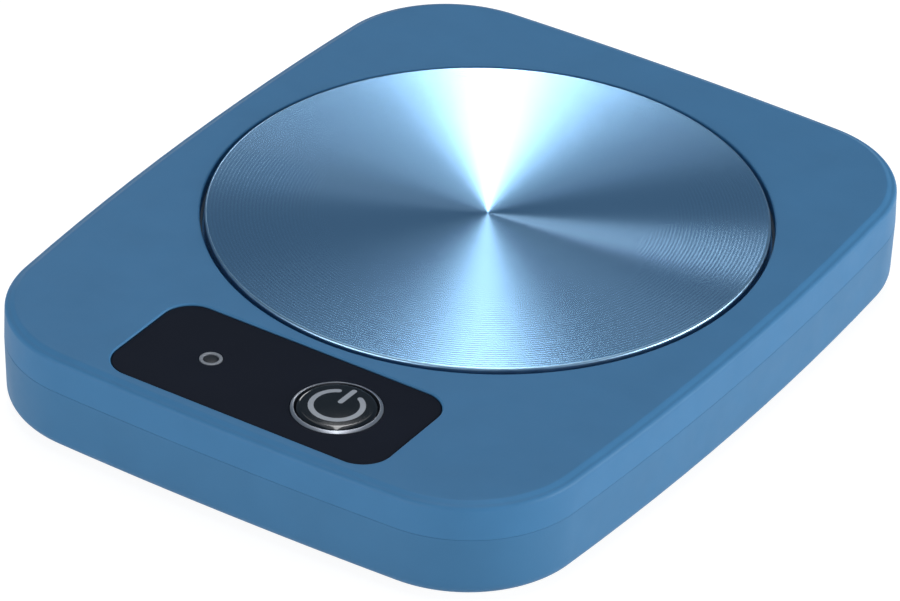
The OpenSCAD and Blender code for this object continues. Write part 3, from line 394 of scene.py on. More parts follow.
case = {
    "halfWidth": 56.98,
    "halfDepth": 70.23,
    "sideBow": 620,  # radius of the bow of the left and right sides
    "endBow": 850,  # radius of the bow of the front and back
    "corner": 22.3,
    "footStand": 1.6,
    "height": 18.2,
    "seam": 11.5,  # parting line above the underside
    "wall": 2,
    "roof": 2.2,
    "floor": 2,
    "sweepIn": 17.3,  # the swept edge reaches this far in, the middle is flat
    "bowSteps": 12,
    "cornerSteps": 30,
}
plate = {
    "centre": (0, 9.15),
    "radius": 48.25,
    "gap": 0.8,
    "rise": 0.4,
    "flange": 50.85,
    "ears": 54.15,  # radius of the circle of the retaining plate's screws
}
panel = {
    "centre": (0, -54.3),
    "size": (54.1, 24.3),
    "corner": 5.3,
    "gap": 0.1,
    "sink": 0.3,
    "thick": 1.2,
    "tape": 0.15,
    "under": 1.5,  # thickness of the pocket's floor
    "seat": 0.6,  # the seat of the button's ring lies this far below the panel
}
buttonPlace = (12.1, -54.3)
indicatorPlace = (-12.95, -54.3)
footPlace = (41.5, 55)

undersideZ = case["footStand"]
floorZ = undersideZ + case["floor"]
seamZ = undersideZ + case["seam"]
topZ = undersideZ + case["height"]
roofZ = topZ - case["roof"]
panelTop = topZ - panel["sink"]
panelLow = panelTop - panel["thick"]
pocketZ = panelLow - panel["tape"]
pocketUnder = pocketZ - panel["under"]
seatZ = panelLow - panel["seat"]


def fourPlaces(x, y, middle=0):
    # corners of a rectangle round a point on the line x = 0
    return [(i * x, middle + j * y) for i in (-1, 1) for j in (-1, 1)]


screwPlaces = fourPlaces(48.51, 40)
boardPlaces = fourPlaces(27.8, 10.05, -53)
earPlaces = [
    (
        plate["centre"][0] + plate["ears"] * math.cos(turn),
        plate["centre"][1] + plate["ears"] * math.sin(turn),
    )
    for turn in (math.radians(45 + 90 * i) for i in range(4))
]


def outlineArcs():
    # centres and angles of the eight arcs of the case, clockwise from the middle of the right side
    sideX = case["halfWidth"] - case["sideBow"]
    endY = case["halfDepth"] - case["endBow"]
    sideReach = case["sideBow"] - case["corner"]
    endReach = case["endBow"] - case["corner"]
    apart = math.hypot(sideX, endY)
    along = (endReach**2 - sideReach**2 + apart**2) / (2 * apart)
    across = math.sqrt(endReach**2 - along**2)
    x = (along * sideX - across * endY) / apart
    y = endY + (-along * endY - across * sideX) / apart
    sideAngle = math.atan2(y, x - sideX)
    endAngle = math.atan2(x, y - endY)
    turn = math.pi / 2 - sideAngle - endAngle
    bow, corner = case["bowSteps"], case["cornerSteps"]
    return [
        ((sideX, 0), sideAngle, bow // 2),
        ((x, -y), turn, corner),
        ((0, -endY), 2 * endAngle, bow),
        ((-x, -y), turn, corner),
        ((-sideX, 0), 2 * sideAngle, bow),
        ((-x, y), turn, corner),
        ((0, endY), 2 * endAngle, bow),
        ((x, y), turn, corner),
        ((sideX, 0), sideAngle, bow // 2),
    ]


def sweptShell(name, section):
    # carries an open line of (inset, height) points round the case and closes both of its ends
    piece = drawLine(name, [((case["halfWidth"] - inset) * mm, 0, z * mm) for inset, z in section])
    for centre, angle, steps in outlineArcs():
        bpy.ops.mesh.spin(
            steps=steps,
            angle=angle,
            center=(centre[0] * mm, centre[1] * mm, 0),
            axis=(0, 0, 1),
        )
    bpy.ops.mesh.select_all(action="SELECT")
    bpy.ops.mesh.remove_doubles(threshold=weld)
    return closeEnds(piece, section[0][1], section[-1][1])


# ---- upper shell

upper = {
    "colour": "#4277a1",
    "seamRound": 0.1,
    "draft": 0.1,
    "edge": 0.8,  # radius of the outer top edge
    "step": 0.5,  # height of the raised face above its shoulder
    "shoulder": 0.85,
    "slope": 1.15,  # width of the soft step up to the raised face
    "plateLip": 0.3,  # radius of the moulded edge round the plate
    "panelLip": 0.35,
    "lap": 14.8,  # height up to which the wall is halved for the lower shell's lip
    "rim": (57.3, 27.5),  # thicker floor under the panel
    "pocketCorner": 5.4,
    "flangeRoom": 0.4,  # between that floor and the plate's flange
    "well": 7.8,  # radius of the button's opening
    "seat": 8.75,  # radius of the seat of the button's ring
    "window": 1.35,  # radius of the indicator's opening
    "posts": (
        # places, radius, radius of the hole, height of the lower end, depth of the hole
        (screwPlaces, 3.1, 1.55, 6.2, 9),
        (earPlaces, 2.7, 1.15, 15.8, 2.2),
        (boardPlaces, 2.6, 1.15, 10.9, 4.5),
    ),
    "postChamfer": 0.3,
    "postRound": 0.2,
    "postSunk": 0.4,  # how far the posts stand in the roof
}


def makeShellMaterial(name, colour):
    # ABS, injection moulded in a spark-eroded tool: even satin surface without any gloss edge
    material, tree, shader = newMaterial(
        name, {"Roughness": 0.5, "IOR": 1.53, "Specular IOR Level": 0.16}
    )
    base = hexColour(colour)
    # the real texture is about 0.1 mm, drawn at 0.4 mm so that it shows at all
    place = grain(tree, shader, 0.4, 0.006, 3)
    mottle(tree, place, shade(base, 0.97), shade(base, 1.03), 9, shader.inputs["Base Color"], 3)
    mottle(tree, place, greyTone(0.47), greyTone(0.53), 4, shader.inputs["Roughness"])
    return material


def makeUpperShell():
    step, r, s = upper["step"], upper["edge"], upper["shoulder"]
    wall, soft = case["wall"], upper["seamRound"]
    # the step starts gently, is steepest near its middle and runs out level into the top
    ramp = [i / 8 for i in range(9)]
    section = (
        [(case["sweepIn"], roofZ), (wall, roofZ), (wall, upper["lap"])]
        + [(wall / 2, upper["lap"]), (wall / 2, seamZ)]
        + arc((soft, seamZ + soft), soft, 270, 180, 4)
        + arc((upper["draft"] + r, topZ - step - r), r, 180, 102, 7)
        + [(s + t * upper["slope"], topZ - step * (1 - t) ** 2 * (1 + 1.6 * t)) for t in ramp]
        + [(s + upper["slope"] + 1, topZ), (case["sweepIn"], topZ)]
    )
    shell = sweptShell("upperShell", section)
    # thicker floor under the panel, cut back round the plate's flange
    corner = upper["pocketCorner"]
    rim = roundedPlate("rim", upper["rim"], corner, pocketUnder, roofZ + 1, panel["centre"])
    room = plate["flange"] + upper["flangeRoom"]
    combine(rim, peg("cut", room, pocketUnder - 1, roofZ, plate["centre"], 96))
    combine(shell, rim, "UNION")
    # openings for the plate, the panel, the button and the indicator
    opening = flare(plate["radius"] + plate["gap"], upper["plateLip"], roofZ - 1, topZ)
    opening = [(0, roofZ - 1)] + opening + [(0, topZ + 1)]
    combine(shell, spun("cut", opening, plate["centre"], 256))
    pocket = [side + 2 * panel["gap"] for side in panel["size"]]
    section = flare(0, upper["panelLip"], pocketZ, topZ)
    combine(shell, sweptPlate("cut", pocket, corner, panel["centre"], section))
    well, seat = upper["well"], upper["seat"]
    section = [(0, pocketUnder - 1), (well, pocketUnder - 1), (well, seatZ), (seat, seatZ)]
    section += [(seat, panelLow), (0, panelLow)]
    combine(shell, spun("cut", section, buttonPlace, 96))
    combine(shell, peg("cut", upper["window"], pocketUnder - 1, panelLow, indicatorPlace))
    # hollow posts for the screws
    chamfer, bend, sunkZ = upper["postChamfer"], upper["postRound"], roofZ + upper["postSunk"]
    for places, radius, hole, low, depth in upper["posts"]:
        section = [(0, low + depth), (hole, low + depth), (hole, low + chamfer)]
        section += [(hole + chamfer, low), (radius - bend, low), (radius, low + bend)]
        section += [(radius, sunkZ), (0, sunkZ)]
        join(shell, *[spun("post", section, place, 40) for place in places])
    material = makeShellMaterial("satinAbsBlue", upper["colour"])
    finishPiece(shell, material, "case", "upper_shell", "top_cover")


makeUpperShell()
print("upper shell made")


# ---- lower shell

lower = {
    # painted shade: a slightly darker copy of the upper shell's blue, for the darker lower band of
    # the sides
    "colour": "#41739a",
    "draft": 0.3,
    "edge": 2.4,
    "lip": (1.1, 14.7),  # inset and top of the lip that stands in the upper shell
    "screwHole": 3.0,
    "footRecess": (5.6, 0.8),  # radius and depth
    "inletHole": (3.9, 8.6),  # radius and height
    "collarSlot": {"reach": 4.65, "front": 66.65, "back": 67.9, "top": 13.7},
    "vents": 8,
    "ventPitch": 5.5,
    "ventRow": 13,  # how far the two rows lie from the plate's middle
    "ventSize": (2, 18),
    "ventCorner": 0.99,
    "sunkZ": 3.1,  # what stands on the floor starts here, inside the floor
    "rib": 0.6,  # half the thickness of the upright walls
    "strapPosts": ((-8.85, 64.35), (8.85, 64.35)),
    "cradle": {"reach": 5.25, "front": 54.25, "back": 65.13, "top": 10.6},
    "stop": {"reach": 5.85, "front": 52.9, "back": 54.1, "top": 5.8},
    "leadPosts": {"middle": 33, "reach": 2.7, "fronts": (-4, 20), "deep": 4, "top": 6.8},
}


def makeLowerShell():
    wall, d, e = case["wall"], lower["draft"], lower["edge"]
    soft = upper["seamRound"]
    lipIn, lipTop = lower["lip"]
    section = (
        [(case["sweepIn"], undersideZ)]
        + arc((d + e, undersideZ + e), e, 270, 180, 8)
        + arc((soft, seamZ - soft), soft, 180, 90, 4)
        + [(lipIn, seamZ), (lipIn, lipTop), (wall, lipTop)]
        + arc((wall + d + e / 2, floorZ + e / 2), e / 2, 180, 270, 4)
        + [(case["sweepIn"], floorZ)]
    )
    shell = sweptShell("lowerShell", section)
    for place in screwPlaces:
        combine(shell, peg("cut", lower["screwHole"], undersideZ - 1, floorZ + 1, place))
    radius, depth = lower["footRecess"]
    for place in fourPlaces(*footPlace):
        combine(shell, peg("cut", radius, undersideZ - 1, undersideZ + depth, place))
    # opening for the inlet's nose, made upright and laid along +Y, and the slot for its collar
    radius, height = lower["inletHole"]
    hole = peg("cut", radius, 60, 80, (0, 0))
    chooseOnly(hole)
    hole.rotation_euler = (math.radians(-90), 0, 0)
    hole.location = (0, 0, height * mm)
    bpy.ops.object.transform_apply(location=True, rotation=True, scale=True)
    combine(shell, hole)
    slot = lower["collarSlot"]
    low = (-slot["reach"], slot["front"], floorZ)
    combine(shell, block("cut", low, (slot["reach"], slot["back"], slot["top"])))
    # air slots under the heater
    size, corner = lower["ventSize"], lower["ventCorner"]
    for row in (-lower["ventRow"], lower["ventRow"]):
        for i in range(lower["vents"]):
            x = (i - (lower["vents"] - 1) / 2) * lower["ventPitch"]
            place = (x, plate["centre"][1] + row)
            combine(shell, roundedPlate("cut", size, corner, 0, floorZ + 1, place, 8))
    # bosses of the case screws
    section = [(3.0, 3.5), (4.6, 3.5), (4.6, 6), (4.4, 6.2), (1.65, 6.2), (1.65, 4.6), (3.0, 4.6)]
    join(shell, *[spun("boss", section + section[:1], place, 40) for place in screwPlaces])
    # strap posts and cradle of the inlet, posts for the supply leads
    sunkZ, rib = lower["sunkZ"], lower["rib"]
    section = [(0, 7.6), (1.15, 7.6), (1.15, 13.3), (1.4, 13.6), (2.5, 13.6), (2.7, 13.4)]
    section += [(2.7, sunkZ), (0, sunkZ)]
    join(shell, *[spun("post", section, place, 40) for place in lower["strapPosts"]])
    cradle, stop, leads = lower["cradle"], lower["stop"], lower["leadPosts"]
    for side in (-1, 1):
        x = side * cradle["reach"]
        low = (x - rib, cradle["front"], sunkZ)
        join(shell, softBlock("cradle", low, (x + rib, cradle["back"], cradle["top"])))
        x = leads["middle"] + side * leads["reach"]
        for y in leads["fronts"]:
            high = (x + rib, y + leads["deep"], leads["top"])
            join(shell, softBlock("post", (x - rib, y, sunkZ), high))
    low = (-stop["reach"], stop["front"], sunkZ)
    join(shell, softBlock("stop", low, (stop["reach"], stop["back"], stop["top"])))
    # the same ABS as the upper shell, its blue darkened as painted shade
    material = makeShellMaterial("satinAbsBlueShaded", lower["colour"])
    finishPiece(shell, material, "case", "lower_shell", "bottom_cover")


makeLowerShell()
print("lower shell made")


# ---- heating plate

disc = {
    "colour": "#a0cff8",
    # colour of the painted shade in the bottom of the turning marks
    "grooveShadeColour": "#35658f",
    "rimColour": "#9cc0dc",
    "edge": 0.45,
    "topZ": topZ + plate["rise"],
    "thick": 2,
    "skirt": 1.8,  # thickness of the wall that goes down to the flange
    "flangeZ": (15.8, 16.8),
    "rimZ": 18.9,  # the bare edge starts above this height
    "rimShare": 0.7,  # and this share of the edge's round in from the rim
    "ringPitch": 0.62,  # distance between the turning marks
    "ringDepth": 0.07,  # how much their slope changes out at the rim
    "ringShade": 0.1,  # painted shade: how much darker the bottom of a mark is painted out at the rim
    "shallow": 0.08,  # share of the depth that is left near the middle
    "deepens": (18, 44),  # the marks deepen between these radii
    "uneven": 0.02,
    "unevenSize": 0.45,
    "lean": 6.5,  # the marks lean inwards by this angle, degrees
}


def makePlateMaterial():
    # aluminium, turned with a pointed tool, tinted and clear coated: fine rings that pull every
    # highlight out into bright wedges
    material, tree, shader = newMaterial(
        "turnedAluminium", {"Metallic": 1.0, "Roughness": 0.26, "Anisotropic": 0.97}
    )
    place = addNode(tree, "ShaderNodeTexCoord")
    centred = addNode(
        tree,
        "ShaderNodeMapping",
        {"Location": (-plate["centre"][0] * mm, -plate["centre"][1] * mm, 0)},
        {"Vector": place.outputs["Object"]},
    )
    flat = vectorMath(tree, "MULTIPLY", centred.outputs[0], (1, 1, 0))
    outward = vectorMath(tree, "NORMALIZE", flat)
    radius = vectorMath(tree, "LENGTH", flat, output="Value")
    # the marks are really about 0.1 mm apart, drawn as wide as they must be to show
    turns = plainMath(tree, "MULTIPLY", radius, 2 * math.pi / (disc["ringPitch"] * mm))
    wave = plainMath(tree, "SINE", turns)
    # the tool runs faster towards the rim and cuts deeper marks there
    deepFrom, deepTo = disc["deepens"]
    deeper = addNode(
        tree,
        "ShaderNodeMapRange",
        {
            "interpolation_type": "SMOOTHSTEP",
            "From Min": deepFrom * mm,
            "From Max": deepTo * mm,
            "To Min": disc["shallow"] * disc["ringDepth"],
            "To Max": disc["ringDepth"],
        },
        {"Value": radius},
    ).outputs[0]
    uneven = addNode(
        tree,
        "ShaderNodeTexNoise",
        {"noise_dimensions": "1D", "Scale": 1 / (disc["unevenSize"] * mm), "Detail": 3.0},
        {"W": radius},
    ).outputs[0]
    # painted shade: the bottom of each mark is coloured darker, the more so where the marks deepen
    grooveShade = addNode(
        tree,
        "ShaderNodeMapRange",
        {
            "From Min": -1.0,
            "From Max": 1.0,
            "To Min": disc["ringShade"] / disc["ringDepth"],
            "To Max": 0.0,
        },
        {"Value": wave},
    ).outputs[0]
    # a colour mix has its two colours in inputs 6 and 7 and its result in output 2
    tintAndShade = addNode(
        tree,
        "ShaderNodeMix",
        {"data_type": "RGBA", 6: hexColour(disc["colour"]), 7: hexColour(disc["grooveShadeColour"])},
        {"Factor": plainMath(tree, "MULTIPLY", grooveShade, deeper)},
    )
    tree.links.new(tintAndShade.outputs[2], shader.inputs["Base Color"])
    # the surface leans in and out with the marks, a little unevenly
    slope = -math.tan(math.radians(disc["lean"]))
    rise = plainMath(tree, "MULTIPLY_ADD", wave, deeper, slope)
    rough = plainMath(tree, "MULTIPLY_ADD", uneven, disc["uneven"], rise)
    lean = vectorMath(tree, "SCALE", outward, None, None, rough)
    surface = addNode(tree, "ShaderNodeNewGeometry")
    leaning = vectorMath(tree, "ADD", surface.outputs["Normal"], lean)
    normal = vectorMath(tree, "NORMALIZE", leaning)
    tree.links.new(normal, shader.inputs["Normal"])
    # highlights spread across the marks: the marks' own direction crossed with the surface's
    along = vectorMath(tree, "CROSS_PRODUCT", outward, (0, 0, 1))
    across = vectorMath(tree, "CROSS_PRODUCT", normal, along)
    tree.links.new(vectorMath(tree, "NORMALIZE", across), shader.inputs["Tangent"])
    return material


def makeRimMaterial():
    # the same aluminium, its edge broken with a file after coating: bare, bright and even
    material, tree, shader = newMaterial(
        "filedAluminiumEdge", {"Metallic": 1.0, "Roughness": 0.4}
    )
    base = hexColour(disc["rimColour"])
    place = grain(tree, shader, 0.3, 0.002, 2)
    mottle(tree, place, shade(base, 0.94), base, 2.5, shader.inputs["Base Color"])
    mottle(tree, place, greyTone(0.36), greyTone(0.44), 1.5, shader.inputs["Roughness"])
    return material


def makeHeatingPlate():
    e, top, radius, flange = disc["edge"], disc["topZ"], plate["radius"], plate["flange"]
    under, bore = top - disc["thick"], radius - disc["skirt"]
    flangeLow, flangeTop = disc["flangeZ"]
    # the flat top is divided by two rings, which keeps its triangles short
    section = (
        [(0, under), (bore, under), (bore, flangeLow)]
        + [(flange, flangeLow), (flange, flangeTop), (radius, flangeTop), (radius, disc["rimZ"])]
        + arc((radius - e, top - e), e, 0, 90, 6)
        + [(40, top), (20, top), (0, top)]
    )
    piece = spun("turnedPlate", section, plate["centre"], 256)
    finishPiece(piece, makePlateMaterial(), "case", "spun_aluminium", "heating_plate")
    piece.data.materials.append(makeRimMaterial())
    for face in piece.data.polygons:
        fromMiddle = math.hypot(face.center.x, face.center.y - plate["centre"][1] * mm)
        atRim = fromMiddle > (radius - disc["rimShare"] * e) * mm
        if atRim and face.center.z > disc["rimZ"] * mm:
            face.material_index = 1


makeHeatingPlate()
print("heating plate made")


# ---- control panel

panelFinish = {"colour": "#131824", "edge": 0.2, "buttonHole": 7.7, "indicatorHole": 2.0}


def makePanelMaterial():
    # PMMA sheet, printed black on the back and hard coated: smooth with a low gloss
    material, tree, shader = newMaterial(
        "blackAcrylicSheet", {"Roughness": 0.45, "IOR": 1.49, "Specular IOR Level": 0.04}
    )
    base = hexColour(panelFinish["colour"])
    place = grain(tree, shader, 0.5, 0.002, 2)
    mottle(tree, place, base, shade(base, 1.1), 14, shader.inputs["Base Color"])
    mottle(tree, place, greyTone(0.34), greyTone(0.42), 6, shader.inputs["Roughness"])
    return material


def makePanel():
    piece = roundedPlate(
        "controlPanel",
        panel["size"],
        panel["corner"],
        panelLow,
        panelTop,
        panel["centre"],
        20,
    )
    low, high = panelLow - 1, panelTop + 1
    combine(piece, peg("cut", panelFinish["buttonHole"], low, high, buttonPlace, 96))
    combine(piece, peg("cut", panelFinish["indicatorHole"], low, high, indicatorPlace, 64))

    def atTopEdge(middle, edge):
        if abs(middle.z - panelTop * mm) > sameHeight or len(edge.link_faces) != 2:
            return False
        first, second = edge.link_faces
        return abs(first.normal.z - second.normal.z) > 0.5

    roundEdges(piece, atTopEdge, panelFinish["edge"])
    finishPiece(piece, makePanelMaterial(), "case", "panel_black", "panel")


makePanel()
print("control panel made")


# ---- push button with its ring and sign

button = {
    "capColour": "#0d1016",
    "markColour": "#9b9fa7",
    "ringColour": "#a9adb6",
    "radius": 6.95,
    "round": 1.1,  # radius of the cap's edge
    "edgeHeight": 0.45,  # where that edge meets the dome, above the panel
    "dome": 0.15,
    "skin": 1.2,  # thickness of the cap's top
    "inside": 5.75,  # radius of the hollow under it
    "flange": 7.55,  # radius of the flange that holds the cap in
    "flangeZ": (17.1, 17.7),
    "stem": (1.75, 15),  # radius and lower end
    "gap": 0.1,
    "ring": 0.6,
    "ringHeight": 0.3,  # at its inner edge, sloping down outwards
    "ringEdge": 0.05,
    "signRadius": 4.75,
    "signWidth": 0.95,
    "signOpen": 29.5,  # half the opening, degrees
    "signBar": (1.1, 5.05),
    "signRise": 0.012,  # above the dome
}
domeEdge = button["radius"] - button["round"]
domeRadius = (domeEdge**2 + button["dome"] ** 2) / (2 * button["dome"])
domeTop = panelTop + button["edgeHeight"] + button["dome"]


def makeCapMaterial():
    # polycarbonate, moulded in a polished tool: deep black gloss
    material, tree, shader = newMaterial(
        "glossPolycarbonateBlack",
        {"Roughness": 0.1, "IOR": 1.585, "Specular IOR Level": 0.55},
    )
    base = hexColour(button["capColour"])
    place = grain(tree, shader, 4, 0.002, 1)
    mottle(tree, place, base, shade(base, 1.15), 5, shader.inputs["Base Color"])
    mottle(tree, place, greyTone(0.09), greyTone(0.12), 2.5, shader.inputs["Roughness"])
    return material


def makeMarkMaterial(name, colour):
    # grey pad print and moulded trim: opaque, slightly uneven, half gloss
    material, tree, shader = newMaterial(name, {"Roughness": 0.35, "IOR": 1.5})
    base = hexColour(colour)
    place = grain(tree, shader, 0.35, 0.004, 2)
    mottle(tree, place, shade(base, 0.94), base, 1.5, shader.inputs["Base Color"])
    mottle(tree, place, greyTone(0.3), greyTone(0.4), 1, shader.inputs["Roughness"])
    return material


def makeRingMaterial():
    # ABS ring with silver lacquer: fine metal flake, satin
    material, tree, shader = newMaterial(
        "silverLacqueredAbs", {"Metallic": 0.85, "Roughness": 0.33}
    )
    base = hexColour(button["ringColour"])
    place = grain(tree, shader, 0.5, 0.0006, 1)
    mottle(tree, place, shade(base, 0.92), base, 0.6, shader.inputs["Base Color"])
    mottle(tree, place, greyTone(0.31), greyTone(0.35), 1, shader.inputs["Roughness"])
    return material


def makeButton():
    r, soft, inside, flange = (button[key] for key in ("radius", "round", "inside", "flange"))
    flangeLow, flangeTop = button["flangeZ"]
    stem, stemZ = button["stem"]
    edgeZ = panelTop + button["edgeHeight"]
    underZ = edgeZ - button["skin"]
    angle = math.degrees(math.asin(domeEdge / domeRadius))
    section = (
        [(0, stemZ), (stem, stemZ), (stem, underZ), (inside, underZ), (inside, flangeLow)]
        + [(flange, flangeLow), (flange, flangeTop), (r, flangeTop)]
        + arc((domeEdge, edgeZ - soft), soft, 0, 84, 14)
        + arc((0, domeTop - domeRadius), domeRadius, 90 - angle, 90, 16)
    )
    cap = spun("buttonCap", section, buttonPlace, 160)
    finishPiece(cap, makeCapMaterial(), "button", "cap_black", "power_button", angle=40)
    # sign: an open ring with a bar through its opening, all ends round, a hair above the dome
    low, high = domeTop - 0.45, domeTop + 1
    outer, width = button["signRadius"], button["signWidth"]
    middle = outer - width / 2
    x, y = buttonPlace
    turn, tip = button["signOpen"], width / 2
    first, last = 90 + turn, 450 - turn

    def endAt(angle):
        angle = math.radians(angle)
        return (x + middle * math.cos(angle), y + middle * math.sin(angle))

    ringLine = (
        arc((x, y), outer, first, last, 110)
        + arc(endAt(last), tip, last, last + 180, 12)[1:]
        + arc((x, y), outer - width, last, first, 110)[1:]
        + arc(endAt(first), tip, first + 180, first + 360, 12)[1:-1]
    )
    barFrom, barTo = button["signBar"]
    barLine = arc((x, y + barTo), tip, 0, 180, 16) + arc((x, y + barFrom), tip, 180, 360, 16)
    raised = domeRadius + button["signRise"]
    marks = []
    for name, line in (("sign", ringLine), ("bar", barLine)):
        ball = [(0, domeTop - 6)] + arc((0, domeTop - domeRadius), raised, 86.5, 90, 40)
        mark = outlined(name, line, low, high)
        marks.append(combine(mark, spun("ball", ball, buttonPlace, 192), "INTERSECT"))
    sign = join(*marks)
    ink = makeMarkMaterial("lightGreyInk", button["markColour"])
    finishPiece(sign, ink, "button", "mark_grey", "power_symbol")


def makeButtonRing():
    inner = button["radius"] + button["gap"]
    outer = inner + button["ring"]
    foot = outer + 1  # the part that lies under the panel
    high, low = panelTop + button["ringHeight"], panelTop + button["ringEdge"]
    # a slope from the rounded inner crest down to the rounded outer edge
    section = (
        [(inner, seatZ), (foot, seatZ), (foot, panelLow), (outer, panelLow)]
        + [(outer, low - 0.02), (outer - 0.02, low), (inner + 0.12, high - 0.012)]
        + [(inner + 0.07, high), (inner + 0.03, high - 0.005), (inner, high - 0.04)]
        + [(inner, seatZ)]
    )
    ring = spun("buttonRing", section, buttonPlace, 160)
    finishPiece(ring, makeRingMaterial(), "case", "mark_grey", "button_ring", angle=40)


makeButton()
makeButtonRing()
print("button made")


# ---- indicator

indicator = {
    "trimColour": "#7d8189",
    "lensColour": "#23262d",
    "radius": 1.95,
    "width": 0.6,
    "round": 0.1,  # of the trim's upper edges
    "rise": 0.05,  # the trim's top above the panel
    "lensGap": 0.05,
    "lensRound": 0.15,
    "lensEdge": 0.15,  # the lens lies below the panel: at its edge, and in its middle
    "lensSink": 0.1,
}


def makeLensMaterial():
    # smoked PMMA window: dark, with a clean gloss
    material, tree, shader = newMaterial(
        "smokedAcrylic", {"Roughness": 0.3, "IOR": 1.49, "Specular IOR Level": 0.2}
    )
    base = hexColour(indicator["lensColour"])
    place = grain(tree, shader, 1.2, 0.002, 1)
    mottle(tree, place, shade(base, 0.85), base, 0.8, shader.inputs["Base Color"])
    return material


def makeIndicator():
    r, w, soft = indicator["radius"], indicator["width"], indicator["round"]
    roundZ = panelTop - (soft - indicator["rise"])
    section = (
        [(r - w, panelLow), (r, panelLow)]
        + arc((r - soft, roundZ), soft, 0, 90, 3)
        + arc((r - w + soft, roundZ), soft, 90, 180, 3)
        + [(r - w, panelLow)]
    )
    trim = makeMarkMaterial("greyTrim", indicator["trimColour"])
    piece = spun("indicatorRing", section, indicatorPlace, 96)
    finishPiece(piece, trim, "case", "mark_grey", "indicator_ring")
    # the window's top is a very shallow dome
    edge, soft = r - w - indicator["lensGap"], indicator["lensRound"]
    section = (
        [(0, panelLow), (edge, panelLow)]
        + arc((edge - soft, panelTop - (soft + indicator["lensEdge"])), soft, 0, 80, 3)
        + [(edge * 0.6, panelTop - 0.12), (edge * 0.3, panelTop - 0.105)]
        + [(0, panelTop - indicator["lensSink"])]
    )
    piece = spun("indicatorLens", section, indicatorPlace, 64)
    finishPiece(piece, makeLensMaterial(), "case", "smoked_lens", "indicator_lens")


makeIndicator()
print("indicator made")


# ---- feet

foot = {
    "colour": "#26282b",
    "radius": 5.5,
    "edge": 0.4,
    "height": 2.4,
    "topRound": 0.1,
    "dish": (3.4, 3.7, 0.15),  # hollow in the sole: radius inside and outside, depth
}


def makeFootMaterial():
    # silicone rubber, compression moulded: matt with a dusty sheen
    material, tree, shader = newMaterial(
        "siliconeRubber",
        {"Roughness": 0.75, "IOR": 1.41, "Sheen Weight": 0.15, "Sheen Roughness": 0.5},
    )
    base = hexColour(foot["colour"])
    place = grain(tree, shader, 0.3, 0.01, 3)
    mottle(tree, place, base, shade(base, 1.25), 2.5, shader.inputs["Base Color"])
    return material


def makeFeet():
    r, e, high, bend = (foot[key] for key in ("radius", "edge", "height", "topRound"))
    inner, outer, deep = foot["dish"]
    section = (
        [(0, deep), (inner, deep), (outer, 0)]
        + arc((r - e, e), e, 270, 360, 5)
        + [(r, high - bend), (r - bend, high), (0, high)]
    )
    material = makeFootMaterial()
    first = spun("foot", section, (0, 0), 64)
    for x, y, name in (
        (-1, -1, "front_left"),
        (1, -1, "front_right"),
        (-1, 1, "back_left"),
        (1, 1, "back_right"),
    ):
        piece = first.copy()
        piece.data = first.data.copy()
        piece.name = piece.data.name = "foot_" + name + "_pad"
        bpy.context.scene.collection.objects.link(piece)
        chooseOnly(piece)
        piece.location = (x * footPlace[0] * mm, y * footPlace[1] * mm, 0)
        bpy.ops.object.transform_apply(location=True, rotation=True, scale=True)
        finishPiece(piece, material, "case", "foot_rubber", "foot_" + name)
    bpy.data.objects.remove(first)


makeFeet()
print("feet made")


# ---- materials of the parts inside, which keep the frame's own shapes


def simpleFinish(name, colour, settings, size, height, spread=0.1):
    # spread is how far the colour strays to each side, as a share of it
    material, tree, shader = newMaterial(name, settings)
    base = hexColour(colour)
    place = grain(tree, shader, size, height)
    lighter = [min(1, c) for c in shade(base, 1 + spread)]
    mottle(tree, place, shade(base, 1 - spread), lighter, 3, shader.inputs["Base Color"])
    return material


